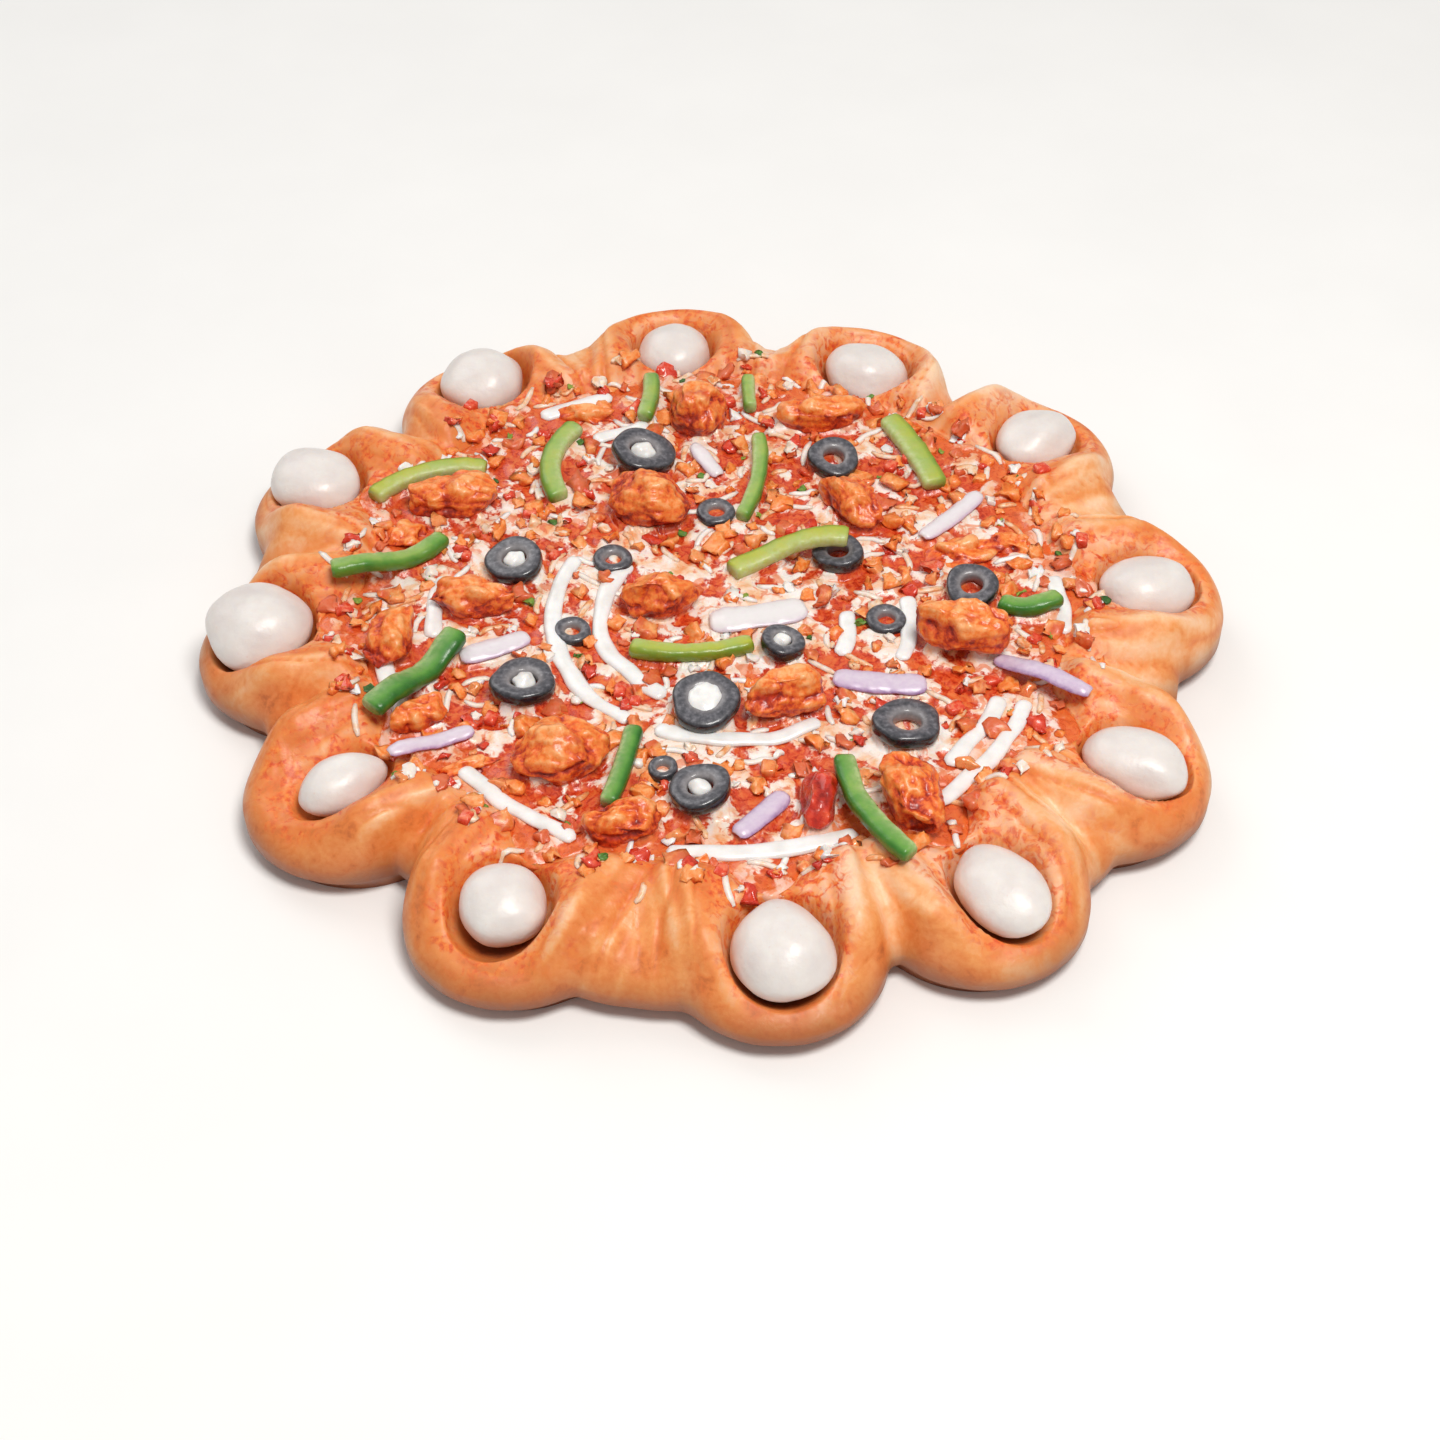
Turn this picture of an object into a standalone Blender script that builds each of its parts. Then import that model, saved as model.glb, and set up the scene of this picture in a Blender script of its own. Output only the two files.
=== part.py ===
"""A pan pizza whose rim of petals is baked round twelve balls of soft white cheese.

The dough is one thick disc whose rim is pulled into twelve petals, each a horseshoe roll round a pocket
that holds a cheese ball. A bed of sauce and melted cheese fills the middle, and chicken, black olive,
green pepper, onion and tomato lie on it. All sizes are in millimetres and are turned to metres when a
mesh is made. +Z is up, and the origin is the middle of the face that the pizza rests on.
"""

import math
import random
from collections import namedtuple

import bmesh
import bpy
from mathutils import Matrix, Vector, noise
from mathutils.bvhtree import BVHTree

MM = 0.001
GAP = 0.4
# Pieces rest on whatever is in place before them, which is felt for from this height.
SKY = 100.0
DOWN = Vector((0.0, 0.0, -1.0))
GROUND = []

# The dough's main sizes
WEB_SOFTNESS = 3.0
LOBE_RADIUS = 27.0
LOBE_SET_IN = 7.0
FOOT_SET_IN = 5.0
FOOT_CURVE_SET_IN = 1.6
FOOT_CURVE_HEIGHT = 1.6
SIDE_HEIGHT = 6.0
EDGE_ROUND = 8.5
NOTCH_HEIGHT = 14.0
NOTCH_RUN_OUT = 2.0
SHOULDER_HEIGHT = 22.5
CREASE_HALF_WIDTH = 9.0
ROLL_HEIGHT = 25.0
ROLL_START = 84.5
ROLL_REACH = 18.8
ROLL_WIDTH = 8.0
RIM_START = -4.0
RIM_END = 14.0
PUFF = 0.9
PUFF_SIZE = 17.0
HALF_PETAL = math.radians(15.0)
STEPS_PER_PETAL = 10
CROWDING = 0.06
RING_SHARES = (0.03, 0.085, 0.16, 0.24, 0.33, 0.43, 0.54, 0.65, 0.76, 0.87, 1.0)

# The cheese balls and their pockets
POCKET_SIDE_ROOM = 2.4
POCKET_FLOOR_ROOM = 2.8
BALL_SEGMENTS = 12
BALL_RINGS = 7

# The bed of sauce and melted cheese
FLOOR_HEIGHT = 14.5
BED_TOP = 19.6
BED_REACH = 94.5
BED_SHIFT = 3.0
BED_TONGUE_HALF_WIDTH = 15.0
BED_TO_BALL = 0.9
BED_TO_CRUST = 1.4
BED_WAVE = 0.5
BED_WAVE_SIZE = 24.0
BED_STEPS_PER_PETAL = 6
BED_RING_SHARES = (0.985, 0.84, 0.68, 0.5, 0.3)
BED_EDGE_DROP = 1.5

# One row for each petal: its turn from +X in degrees, the distance from the middle at which its roll
# turns back, the height of the rim at the tip, and the depth of the crease and the reach of the notch
# that follow it. A crease below nought is a ridge.
Petal = namedtuple("Petal", "turn reach rim crease notch")
PETALS = (
    Petal(96, 113, 24, -3.0, 118),
    Petal(66, 113, 23, 2.0, 119),
    Petal(37, 118, 17, 2.0, 127),
    Petal(4, 119, 20, 4.5, 125),
    Petal(-28, 120.5, 18, 4.5, 129),
    Petal(-55, 121, 14, 4.0, 121),
    Petal(-82, 118, 12, 0.0, 127),
    Petal(-116, 117.5, 13, 3.0, 114.5),
    Petal(-147, 117, 15, 4.0, 122),
    Petal(-176, 118, 14, 2.5, 129),
    Petal(-205, 120.5, 14, 3.0, 121),
    Petal(-234, 117, 16, -3.0, 123),
)

# One row for the ball in each petal: how far out and how far to the side its middle is, its radii along
# and across the petal and upwards, the height of its middle, and the gap left on its outer side.
Ball = namedtuple("Ball", "out aside along across tall height gap")
BALLS = (
    Ball(112.0, 0.0, 11.5, 11.3, 8.2, 17.2, 0.0),
    Ball(111.0, 0.0, 12.0, 13.0, 8.6, 17.2, 0.0),
    Ball(116.5, 0.5, 13.2, 10.5, 7.8, 17.3, 0.0),
    Ball(117.6, 0.0, 13.5, 10.6, 7.6, 16.8, 0.0),
    Ball(120.6, 0.0, 14.3, 10.2, 7.8, 17.2, 0.0),
    Ball(121.0, 0.0, 14.8, 10.9, 8.3, 17.2, 0.0),
    Ball(118.8, 0.0, 14.3, 12.9, 9.8, 17.2, 0.0),
    Ball(114.6, 0.0, 11.8, 11.8, 8.6, 16.6, 3.2),
    Ball(112.4, 3.3, 12.4, 8.4, 7.2, 17.2, 1.5),
    Ball(120.6, 0.0, 14.6, 14.3, 10.4, 17.8, 0.0),
    Ball(123.6, 0.0, 13.8, 11.8, 8.2, 17.2, 0.0),
    Ball(118.2, -2.0, 12.5, 13.0, 9.0, 17.4, 0.0),
)

# Chicken: x, y, turn, length, width, height
CHICKEN = (
    (-64, -2, -5, 23, 12, 9),
    (-18, 35, -22, 24, 16, 14),
    (-72, 40, 5, 25, 14, 10),
    (38, 37, -50, 23, 12, 10),
    (-14, -2, 12, 21, 13, 11),
    (65, -18, -12, 25, 14, 12),
    (18, -39, 20, 21, 13, 12),
    (-38, -60, 20, 25, 18, 14),
    (-22, -82, 8, 20, 11, 9),
    (49, -74, -78, 25, 15, 12),
    (-4, 78, 80, 22, 16, 12),
    (31, 76, 5, 26, 11, 9),
    (-84, -17, 80, 21, 12, 8),
    (-75, -45, 25, 16, 8, 7),
)
LUMP_ROUGHNESS = 0.55
LUMP_GRAIN = 0.6
LUMP_UNDERSIDE = -0.55
# Each lump's roughness is read this far from its neighbour's for each millimetre between them.
LUMP_SPREAD = 3.7

# Tomato: x, y, turn, length, width, height
TOMATO = ((26, -74.5, 82, 19, 9.5, 8),)

# Black olive rings: x, y, diameter, lean in degrees, turn of the lean
OLIVES = (
    (-53.5, 12.5, 16, 8, 200),
    (-48.5, -34, 17.5, 8, 90),
    (-2, -42, 18, 8, 260),
    (-3.2, -71.5, 16, 10, 150),
    (49, -49, 18, 9, 70),
    (18, -19, 12, 10, 20),
    (69, 2, 15, 9, 250),
    (34, 55, 15, 10, 300),
    (-19.7, 57.5, 18, 12, 0),
    (33.8, 16, 14, 6, 180),
)
OLIVE_HOLE = 0.4
OLIVE_CUT_FACE = 0.92
OLIVE_THICKNESS = 4.2
OLIVE_STEPS = 13
SUNKEN_OLIVE_STEPS = 8

# Strips are cut from a ring, so each is an arc: x, y of its middle, turn of its chord, length, bend in
# degrees (a minus bows it to the left of the chord) and width.
PEPPERS = (
    (-80.5, 50.5, 22, 34, -62, 5.5),
    (-86, 11.3, 33, 34, 40, 5.5),
    (-76, -32.5, 56, 35, 8, 7.0),
    (-22.4, -62.5, 77, 26, 8, 5.0),
    (36.8, -81, -67, 38, 40, 5.5),
    (-45.5, 56, -97, 32, 70, 6.0),
    (-18, 84, -94, 21, -20, 5.0),
    (10.3, 86, -88, 14, 6, 4.0),
    (12.7, 48.5, -98, 35, -30, 4.5),
    (57, 60, -68, 31, -12, 7.0),
    (20, 16.5, 14, 33, -46, 6.0),
    (-5.5, -22, 3, 32, 40, 5.0),
    (84, -5, 2, 16, 60, 5.5),
)
PEPPER_THICKNESS = 4.2
ONIONS = (
    (43, -32, -6, 24, 14, 7.5),
    (84.5, -32, -37, 28, 10, 5.5),
    (12, -78, 48, 18, 10, 6.0),
    (-71, -54, 29, 23, -10, 5.0),
    (-57, -19, 24, 19, 12, 7.0),
    (12, -7, 12, 26, 16, 9.0),
    (-2, 57, -62, 15, 12, 5.0),
    (66, 33, 48, 25, 12, 5.5),
)
ONION_THICKNESS = 2.4
STRIP_STEP = 4.5
STRIP_SIDE_LOW = 0.5
STRIP_UNDERSIDE = 0.6
STRIP_TOPSIDE = 0.8
DRAPE_SHARES = (0.0, 0.25, 0.5, 0.75, 1.0)
DRAPE_STEP = 1.6

# Small things that are baked into the bed. Each sinks this share of its height into it.
SUNK_SHARE = 0.4
# Olive slices in the bed: x, y, diameter
SUNKEN_OLIVES = ((-27, 16, 11), (-37, -12, 10), (46, -7, 11), (-12.5, -62.3, 8), (1, 36, 11))
# Crumbled chicken in the bed: x, y, turn, length, width, height
CRUMBLED = (
    (68, 20, 15, 24, 13, 6),
    (81, 24, -15, 15, 9, 5),
    (-84, 27, 20, 14, 12, 5),
    (-35, 78, -5, 20, 9, 6),
    (-61, -60, 15, 17, 7, 4),
)
# Cream, drizzled in rings round a point near the middle: the ring's radius and the turns between which
# it shows.
CREAM_CENTRE = (3.0, -6.0)
CREAM_ARCS = (
    (33, 140, 243),
    (33, 335, 365),
    (45.5, 150, 238),
    (45.5, 247, 302),
    (49, 340, 369),
    (77, 168, 186),
    (90, 178, 204),
    (86, 220, 245),
    (83, 260, 293),
    (77, 316, 337),
    (84, 306, 338),
    (90, 356, 370),
    (82, 105, 117),
    (99, 109, 122),
)
CREAM_WIDTH = 3.6
CREAM_TOP_SHARE = 0.5
CREAM_THICKNESS = 2.6
CREAM_STEP = 9.0
# Diced tomato and crumbs of chicken, scattered over the bed by the golden angle
DICE_COUNT = 54
DICE_SIZE = (3.2, 5.0)
DICE_NARROWING = 0.8
DICE_HALF_DIAGONAL = 0.7
DICE_HEIGHT = 3.0
DICE_REACH = (18.0, 86.0)
DICE_CLEARANCE = 1.0
GOLDEN_ANGLE = math.radians(137.508)
SEED = 12

COLOURS = {
    "dough": ((0.80, 0.42, 0.17), 0.6),
    "cheese": ((0.86, 0.83, 0.76), 0.35),
    "bed": ((0.85, 0.42, 0.22), 0.4),
    "chicken": ((0.72, 0.22, 0.05), 0.5),
    "tomato": ((0.62, 0.05, 0.03), 0.3),
    "olive": ((0.04, 0.045, 0.05), 0.3),
    "pepper": ((0.22, 0.42, 0.06), 0.3),
    "onion": ((0.80, 0.70, 0.78), 0.4),
}


def clear_scene():
    for old in list(bpy.data.objects):
        bpy.data.objects.remove(old)


def material(name):
    """One material for each thing that the pizza is made of."""
    if name not in bpy.data.materials:
        colour, roughness = COLOURS[name]
        made = bpy.data.materials.new(name)
        made.use_nodes = True
        shader = made.node_tree.nodes["Principled BSDF"]
        shader.inputs["Base Color"].default_value = (*colour, 1.0)
        shader.inputs["Roughness"].default_value = roughness
        shader.inputs["Metallic"].default_value = 0.0
    return bpy.data.materials[name]


def finish(bm, name, finish_name):
    """Turns a mesh drawn in millimetres into an object in metres."""
    bm.normal_update()
    bmesh.ops.recalc_face_normals(bm, faces=bm.faces[:])
    bmesh.ops.triangulate(bm, faces=bm.faces[:])
    GROUND.append(BVHTree.FromBMesh(bm))
    bm.transform(Matrix.Scale(MM, 4))
    mesh = bpy.data.meshes.new(name)
    bm.to_mesh(mesh)
    bm.free()
    mesh.shade_smooth()
    mesh.materials.append(material(finish_name))
    made = bpy.data.objects.new(name, mesh)
    bpy.context.scene.collection.objects.link(made)
    return made


def smooth_step(low, high, value):
    share = min(max((value - low) / (high - low), 0.0), 1.0)
    return share * share * (3.0 - 2.0 * share)


def smooth_max(first, second, softness):
    """The larger of two numbers, with the change from one to the other rounded off."""
    share = max(softness - abs(first - second), 0.0) / softness
    return max(first, second) + share * share * softness / 4.0


def turned_by(turn, other):
    """The angle from one turn to another, between minus and plus half a turn, in radians."""
    return (turn - other + math.pi) % (2.0 * math.pi) - math.pi


def nearest_petal(turn):
    return min(PETALS, key=lambda petal: abs(turned_by(turn, math.radians(petal.turn))))


def ball_of(petal):
    return BALLS[PETALS.index(petal)]


def petal_frame(petal, x, y):
    """A place seen from the petal: how far out along its middle line, and how far to the side."""
    turn = math.radians(petal.turn)
    return (x * math.cos(turn) + y * math.sin(turn), y * math.cos(turn) - x * math.sin(turn))


def notch_reach(turn):
    """How far out the web between the petals goes, passing smoothly from notch to notch."""
    petal = nearest_petal(turn)
    aside = turned_by(turn, math.radians(petal.turn))
    before = PETALS[PETALS.index(petal) - 1]
    share = smooth_step(-HALF_PETAL, HALF_PETAL, -aside)
    return before.notch + (petal.notch - before.notch) * share


def side_reach(turn):
    """How far the dough's side stands from the middle: a round web with twelve round lobes."""
    reach = notch_reach(turn)
    for petal in PETALS:
        off = turned_by(turn, math.radians(petal.turn))
        if abs(off) > 2.0 * HALF_PETAL:
            continue
        middle = petal.reach - LOBE_SET_IN
        room = max(LOBE_RADIUS**2 - (middle * math.sin(off)) ** 2, 0.0)
        reach = smooth_max(reach, middle * math.cos(off) + math.sqrt(room), WEB_SOFTNESS)
    return reach


def bed_reach(turn):
    """How far the bed goes: a disc, a little to the back, with a tongue of sauce running up to each ball."""
    petal = nearest_petal(turn)
    disc = BED_REACH + BED_SHIFT * math.sin(turn)
    aside = disc * math.sin(turned_by(turn, math.radians(petal.turn)))
    tongue = ball_of(petal).out - ball_of(petal).along - BED_TO_BALL - disc
    if abs(aside) > BED_TONGUE_HALF_WIDTH:
        return disc
    return disc + tongue * 0.5 * (1.0 + math.cos(math.pi * aside / BED_TONGUE_HALF_WIDTH))


def crease_beside(petal, aside):
    """The crease in the web on one side of a petal. A crease belongs to the petal that it follows."""
    return petal.crease if aside < 0.0 else PETALS[PETALS.index(petal) - 1].crease


def dough_top(x, y):
    """Height of the dough's top: a web that slopes to the notches, and a horseshoe roll round each ball."""
    turn = math.atan2(y, x)
    reach = math.hypot(x, y)
    petal = nearest_petal(turn)
    out, aside = petal_frame(petal, x, y)
    slope = smooth_step(BED_REACH, notch_reach(turn) + NOTCH_RUN_OUT, reach)
    web = SHOULDER_HEIGHT + (NOTCH_HEIGHT - SHOULDER_HEIGHT) * slope
    half_gap = reach * math.sin(HALF_PETAL)
    web -= crease_beside(petal, aside) * smooth_step(half_gap - CREASE_HALF_WIDTH, half_gap, abs(aside))
    along = out - min(max(out, ROLL_START), petal.reach)
    away = math.hypot(along, aside)
    towards_tip = smooth_step(petal.reach + RIM_START, petal.reach + RIM_END, out)
    crest = ROLL_HEIGHT + (petal.rim - ROLL_HEIGHT) * towards_tip
    roll = math.exp(-(((away - ROLL_REACH) / ROLL_WIDTH) ** 2))
    height = web + (crest - web) * roll
    height += PUFF * noise.noise(Vector((x, y, 0.0)) / PUFF_SIZE)
    inward = side_reach(turn) - reach
    if inward < EDGE_ROUND:
        rounding = math.sqrt(max(1.0 - (1.0 - inward / EDGE_ROUND) ** 2, 0.0))
        height = SIDE_HEIGHT + (height - SIDE_HEIGHT) * rounding
    return min(height, pocket_floor(ball_of(petal), out, aside))


def pocket_floor(ball, out, aside):
    """Height of the bowl that a ball sits in, or a height above all dough away from it."""
    across = ball.across + POCKET_SIDE_ROOM
    along = ball.along + POCKET_SIDE_ROOM + ball.gap / 2
    away = math.hypot((out - ball.out - ball.gap / 2) / along, (aside - ball.aside) / across)
    if away >= 1.0:
        return SKY
    return ball.height - (ball.tall + POCKET_FLOOR_ROOM) * math.sqrt(1.0 - away * away)


def petal_turns(steps_per_petal):
    """Turns round the whole pizza, as many from each petal to the next, and closer together at the petals."""
    shares = [step / steps_per_petal for step in range(steps_per_petal)]
    shares = [share - CROWDING * math.sin(2.0 * math.pi * share) for share in shares]
    turns = []
    for place, petal in enumerate(PETALS):
        after = PETALS[(place + 1) % len(PETALS)]
        start = math.radians(petal.turn)
        sweep = turned_by(math.radians(after.turn), start)
        turns += [start + sweep * share for share in shares]
    return turns


def ring_of(bm, turns, place):
    return [bm.verts.new(place(turn)) for turn in turns]


def bridge(bm, first, second):
    """A band of faces between two rings with as many points."""
    count = len(first)
    for step in range(count):
        after = (step + 1) % count
        bm.faces.new((first[step], first[after], second[after], second[step]))


def at(turn, reach, height):
    return (reach * math.cos(turn), reach * math.sin(turn), height)


def crust():
    """The dough, from the foot up its side, over the top and down to the floor under the bed."""
    bm = bmesh.new()
    turns = petal_turns(STEPS_PER_PETAL)
    floor_reach = {turn: bed_reach(turn) + BED_TO_CRUST for turn in turns}

    def on_top(turn, share):
        outer = side_reach(turn)
        reach = outer + (floor_reach[turn] - outer) * share
        x, y, _ = at(turn, reach, 0.0)
        return (x, y, dough_top(x, y))

    rings = [
        ring_of(bm, turns, lambda turn: at(turn, side_reach(turn) - FOOT_SET_IN, 0.0)),
        ring_of(bm, turns, lambda turn: at(turn, side_reach(turn) - FOOT_CURVE_SET_IN, FOOT_CURVE_HEIGHT)),
        ring_of(bm, turns, lambda turn: at(turn, side_reach(turn), SIDE_HEIGHT)),
    ]
    for share in RING_SHARES:
        rings.append(ring_of(bm, turns, lambda turn, share=share: on_top(turn, share)))
    rings.append(ring_of(bm, turns, lambda turn: at(turn, floor_reach[turn] - GAP / 4, FLOOR_HEIGHT)))
    for lower, upper in zip(rings, rings[1:]):
        bridge(bm, lower, upper)
    bm.faces.new(rings[0][::-1])
    bm.faces.new(rings[-1])
    return finish(bm, "crust", "dough")


def cheese_ball(name, petal):
    """A soft ball that has sagged, so it is wider than high."""
    bm = bmesh.new()
    bmesh.ops.create_uvsphere(bm, u_segments=BALL_SEGMENTS, v_segments=BALL_RINGS, radius=1.0)
    ball = ball_of(petal)
    middle = Matrix.Translation((ball.out, ball.aside, ball.height))
    radii = Matrix.Diagonal((ball.along, ball.across, ball.tall, 1.0))
    bm.transform(Matrix.Rotation(math.radians(petal.turn), 4, "Z") @ middle @ radii)
    return finish(bm, name, "cheese")


def bed_top(x, y):
    """Height of the bed, which melts into low waves."""
    return BED_TOP + BED_WAVE * noise.noise(Vector((x, y, 0.0)) / BED_WAVE_SIZE)


def bare_bed():
    """The bed without what is baked into it."""
    bm = bmesh.new()
    turns = petal_turns(BED_STEPS_PER_PETAL)

    def on_top(turn, share):
        x, y, _ = at(turn, bed_reach(turn) * share, 0.0)
        return (x, y, bed_top(x, y))

    rings = [
        ring_of(bm, turns, lambda turn: at(turn, bed_reach(turn) - GAP, FLOOR_HEIGHT + GAP)),
        ring_of(bm, turns, lambda turn: at(turn, bed_reach(turn), BED_TOP - BED_EDGE_DROP)),
    ]
    for share in BED_RING_SHARES:
        rings.append(ring_of(bm, turns, lambda turn, share=share: on_top(turn, share)))
    for lower, upper in zip(rings, rings[1:]):
        bridge(bm, lower, upper)
    middle = bm.verts.new((0.0, 0.0, bed_top(0.0, 0.0)))
    last = rings[-1]
    for step, corner in enumerate(last):
        bm.faces.new((corner, last[(step + 1) % len(last)], middle))
    bm.faces.new(rings[0][::-1])
    return finish(bm, "sauce_and_cheese", "bed")


def sink(bm):
    """Lowers a small piece into the bed, by its share of its height."""
    low = min(vert.co.z for vert in bm.verts)
    high = max(vert.co.z for vert in bm.verts)
    for vert in bm.verts:
        vert.co.z += bed_top(vert.co.x, vert.co.y) - low - SUNK_SHARE * (high - low)


def height_under(spot):
    """Height of the highest thing in place at a spot."""
    hits = [tree.ray_cast(Vector((spot.x, spot.y, SKY)), DOWN)[0] for tree in GROUND]
    return max((hit.z for hit in hits if hit), default=0.0)


def rest(bm):
    """Lowers or lifts a stiff piece until it just clears everything under it."""
    spots = [face.calc_center_median() for face in bm.faces]
    spots += [vert.co for vert in bm.verts]
    spots += [(edge.verts[0].co + edge.verts[1].co) / 2 for edge in bm.edges]
    rise = max(height_under(spot) - spot.z for spot in spots) + GAP
    bmesh.ops.translate(bm, verts=bm.verts[:], vec=(0.0, 0.0, rise))


def drape(bm, corners):
    """Lets a strip follow what it lies on, no steeper than such a strip bends."""
    bm.verts.ensure_lookup_table()
    count = len(bm.verts) // corners
    sections = [bm.verts[place * corners : (place + 1) * corners] for place in range(count)]
    spans = []
    for near, far in zip(sections, sections[1:]):
        edges = [[a.co.lerp(b.co, share) for a, b in zip(near, far)] for share in DRAPE_SHARES]
        spots = [spot for edge in edges for spot in edge]
        spots += [(a + b) / 2 for edge in edges for a, b in zip(edge, edge[1:])]
        spans.append(max(height_under(spot) for spot in spots) - min(spot.z for spot in spots) + GAP)
    rises = [max(spans[max(place - 1, 0)], spans[min(place, count - 2)]) for place in range(count)]
    for place in range(1, count):
        rises[place] = max(rises[place], rises[place - 1] - DRAPE_STEP)
    for place in reversed(range(count - 1)):
        rises[place] = max(rises[place], rises[place + 1] - DRAPE_STEP)
    for section, rise in zip(sections, rises):
        bmesh.ops.translate(bm, verts=section, vec=(0.0, 0.0, rise))


def put(bm, x, y, turn=0.0):
    bm.transform(Matrix.Translation((x, y, 0.0)) @ Matrix.Rotation(math.radians(turn), 4, "Z"))


def lump(x, y, turn, length, width, height):
    """A torn piece of meat or tomato: a rough lump with a flat underside."""
    bm = bmesh.new()
    bmesh.ops.create_icosphere(bm, subdivisions=2, radius=1.0)
    for vert in bm.verts:
        place = vert.co / LUMP_GRAIN + Vector((x, y, length)) * LUMP_SPREAD
        vert.co *= 1.0 + LUMP_ROUGHNESS * noise.noise(place)
        vert.co.z = max(vert.co.z, LUMP_UNDERSIDE)
    fit_to_box(bm, length, width, height)
    put(bm, x, y, turn)
    return bm


def chunk(name, finish_name, row):
    bm = lump(*row)
    rest(bm)
    return finish(bm, name, finish_name)


def crumbled(row):
    bm = lump(*row)
    sink(bm)
    return bm


def fit_to_box(bm, length, width, height):
    """Scales a lump to its true length, width and height, and centres it."""
    for axis, size in enumerate((length, width, height)):
        values = [vert.co[axis] for vert in bm.verts]
        low, high = min(values), max(values)
        for vert in bm.verts:
            vert.co[axis] = (vert.co[axis] - (low + high) / 2) * size / (high - low)


def ring_slice(bm, diameter, steps):
    """A slice of a stoned olive: its section spun round the hole."""
    outer = diameter / 2
    hole = outer * OLIVE_HOLE
    face = outer * OLIVE_CUT_FACE
    half = OLIVE_THICKNESS / 2
    section = ((hole, -half), (face, -half), (outer, 0.0), (face, half), (hole, half))
    corners = [bm.verts.new((across, 0.0, up)) for across, up in section]
    edges = [bm.edges.new(pair) for pair in zip(corners, corners[1:] + corners[:1])]
    bmesh.ops.spin(
        bm,
        geom=corners + edges,
        axis=(0.0, 0.0, 1.0),
        cent=(0.0, 0.0, 0.0),
        angle=2.0 * math.pi,
        steps=steps,
        use_merge=True,
    )


def olive(name, x, y, diameter, lean, lean_turn):
    bm = bmesh.new()
    ring_slice(bm, diameter, OLIVE_STEPS)
    bm.transform(Matrix.Rotation(math.radians(lean), 4, "Y"))
    put(bm, x, y, lean_turn)
    rest(bm)
    return finish(bm, name, "olive")


def strip_section(width, thickness):
    """A vegetable strip cut across: a flat top, and an underside with its corners rounded off."""
    half, high = width / 2, thickness / 2
    return (
        (-half, -high * STRIP_SIDE_LOW),
        (-half * STRIP_UNDERSIDE, -high),
        (half * STRIP_UNDERSIDE, -high),
        (half, -high * STRIP_SIDE_LOW),
        (half * STRIP_TOPSIDE, high),
        (-half * STRIP_TOPSIDE, high),
    )


def cream_section():
    """Cream across its run: a low bank, narrower at the top."""
    half, high = CREAM_WIDTH / 2, CREAM_THICKNESS / 2
    top = half * CREAM_TOP_SHARE
    return ((-half, -high), (half, -high), (top, high), (-top, high))


def arc_strip(bm, length, bend, section, step):
    """A strip along an arc: its section spun about the arc's middle, its chord along +X."""
    sweep = math.radians(bend)
    radius = length / sweep
    steps = max(3, round(length / step))
    centre = Vector((0.0, radius, 0.0))
    corners = [bm.verts.new((0.0, across, up)) for across, up in section]
    face = bm.faces.new(corners)
    bmesh.ops.rotate(bm, verts=corners, cent=centre, matrix=Matrix.Rotation(-sweep / 2, 3, "Z"))
    bmesh.ops.spin(bm, geom=[face], axis=(0.0, 0.0, 1.0), cent=centre, angle=sweep, steps=steps)
    return len(section)


def strip(name, finish_name, thickness, x, y, turn, length, bend, width):
    bm = bmesh.new()
    corners = arc_strip(bm, length, bend, strip_section(width, thickness), STRIP_STEP)
    put(bm, x, y, turn)
    drape(bm, corners)
    return finish(bm, name, finish_name)


def cream_place(radius, start, end):
    """A run of cream as an arc strip: x, y of its middle, turn of its chord, length and bend."""
    middle = math.radians((start + end) / 2)
    x = CREAM_CENTRE[0] + radius * math.cos(middle)
    y = CREAM_CENTRE[1] + radius * math.sin(middle)
    return x, y, math.degrees(middle) + 90.0, radius * math.radians(end - start), end - start


def cream_arc(radius, start, end):
    """A run of cream, as a low ribbon."""
    bm = bmesh.new()
    x, y, turn, length, bend = cream_place(radius, start, end)
    arc_strip(bm, length, bend, cream_section(), CREAM_STEP)
    put(bm, x, y, turn)
    sink(bm)
    return bm


def sunken_olive(x, y, diameter):
    bm = bmesh.new()
    ring_slice(bm, diameter, SUNKEN_OLIVE_STEPS)
    put(bm, x, y)
    sink(bm)
    return bm


def near_anything(x, y, radius, taken):
    """Whether a round spot comes too near a circle that is already taken."""
    return any(math.hypot(x - tx, y - ty) < radius + tr + DICE_CLEARANCE for tx, ty, tr in taken)


def taken_spots():
    """Circles that cover every topping and every run of cream, for the small dice to keep clear of."""
    spots = []
    for x, y, turn, length, width, _ in CHICKEN + TOMATO + CRUMBLED:
        spots += circles_along(x, y, turn, length, width)
    for x, y, turn, length, bend, width in PEPPERS + ONIONS:
        spots += circles_on_arc(x, y, turn, length, bend, width)
    spots += [(x, y, diameter / 2) for x, y, diameter, *_ in OLIVES + SUNKEN_OLIVES]
    for arc in CREAM_ARCS:
        spots += circles_on_arc(*cream_place(*arc), CREAM_WIDTH)
    return spots


def circles_along(x, y, turn, length, width):
    """Circles in a row that cover a straight lump."""
    run = max(length - width, 0.0) / 2
    way = math.radians(turn)
    return [(x + math.cos(way) * run * k, y + math.sin(way) * run * k, width / 2) for k in (-1, 0, 1)]


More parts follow.
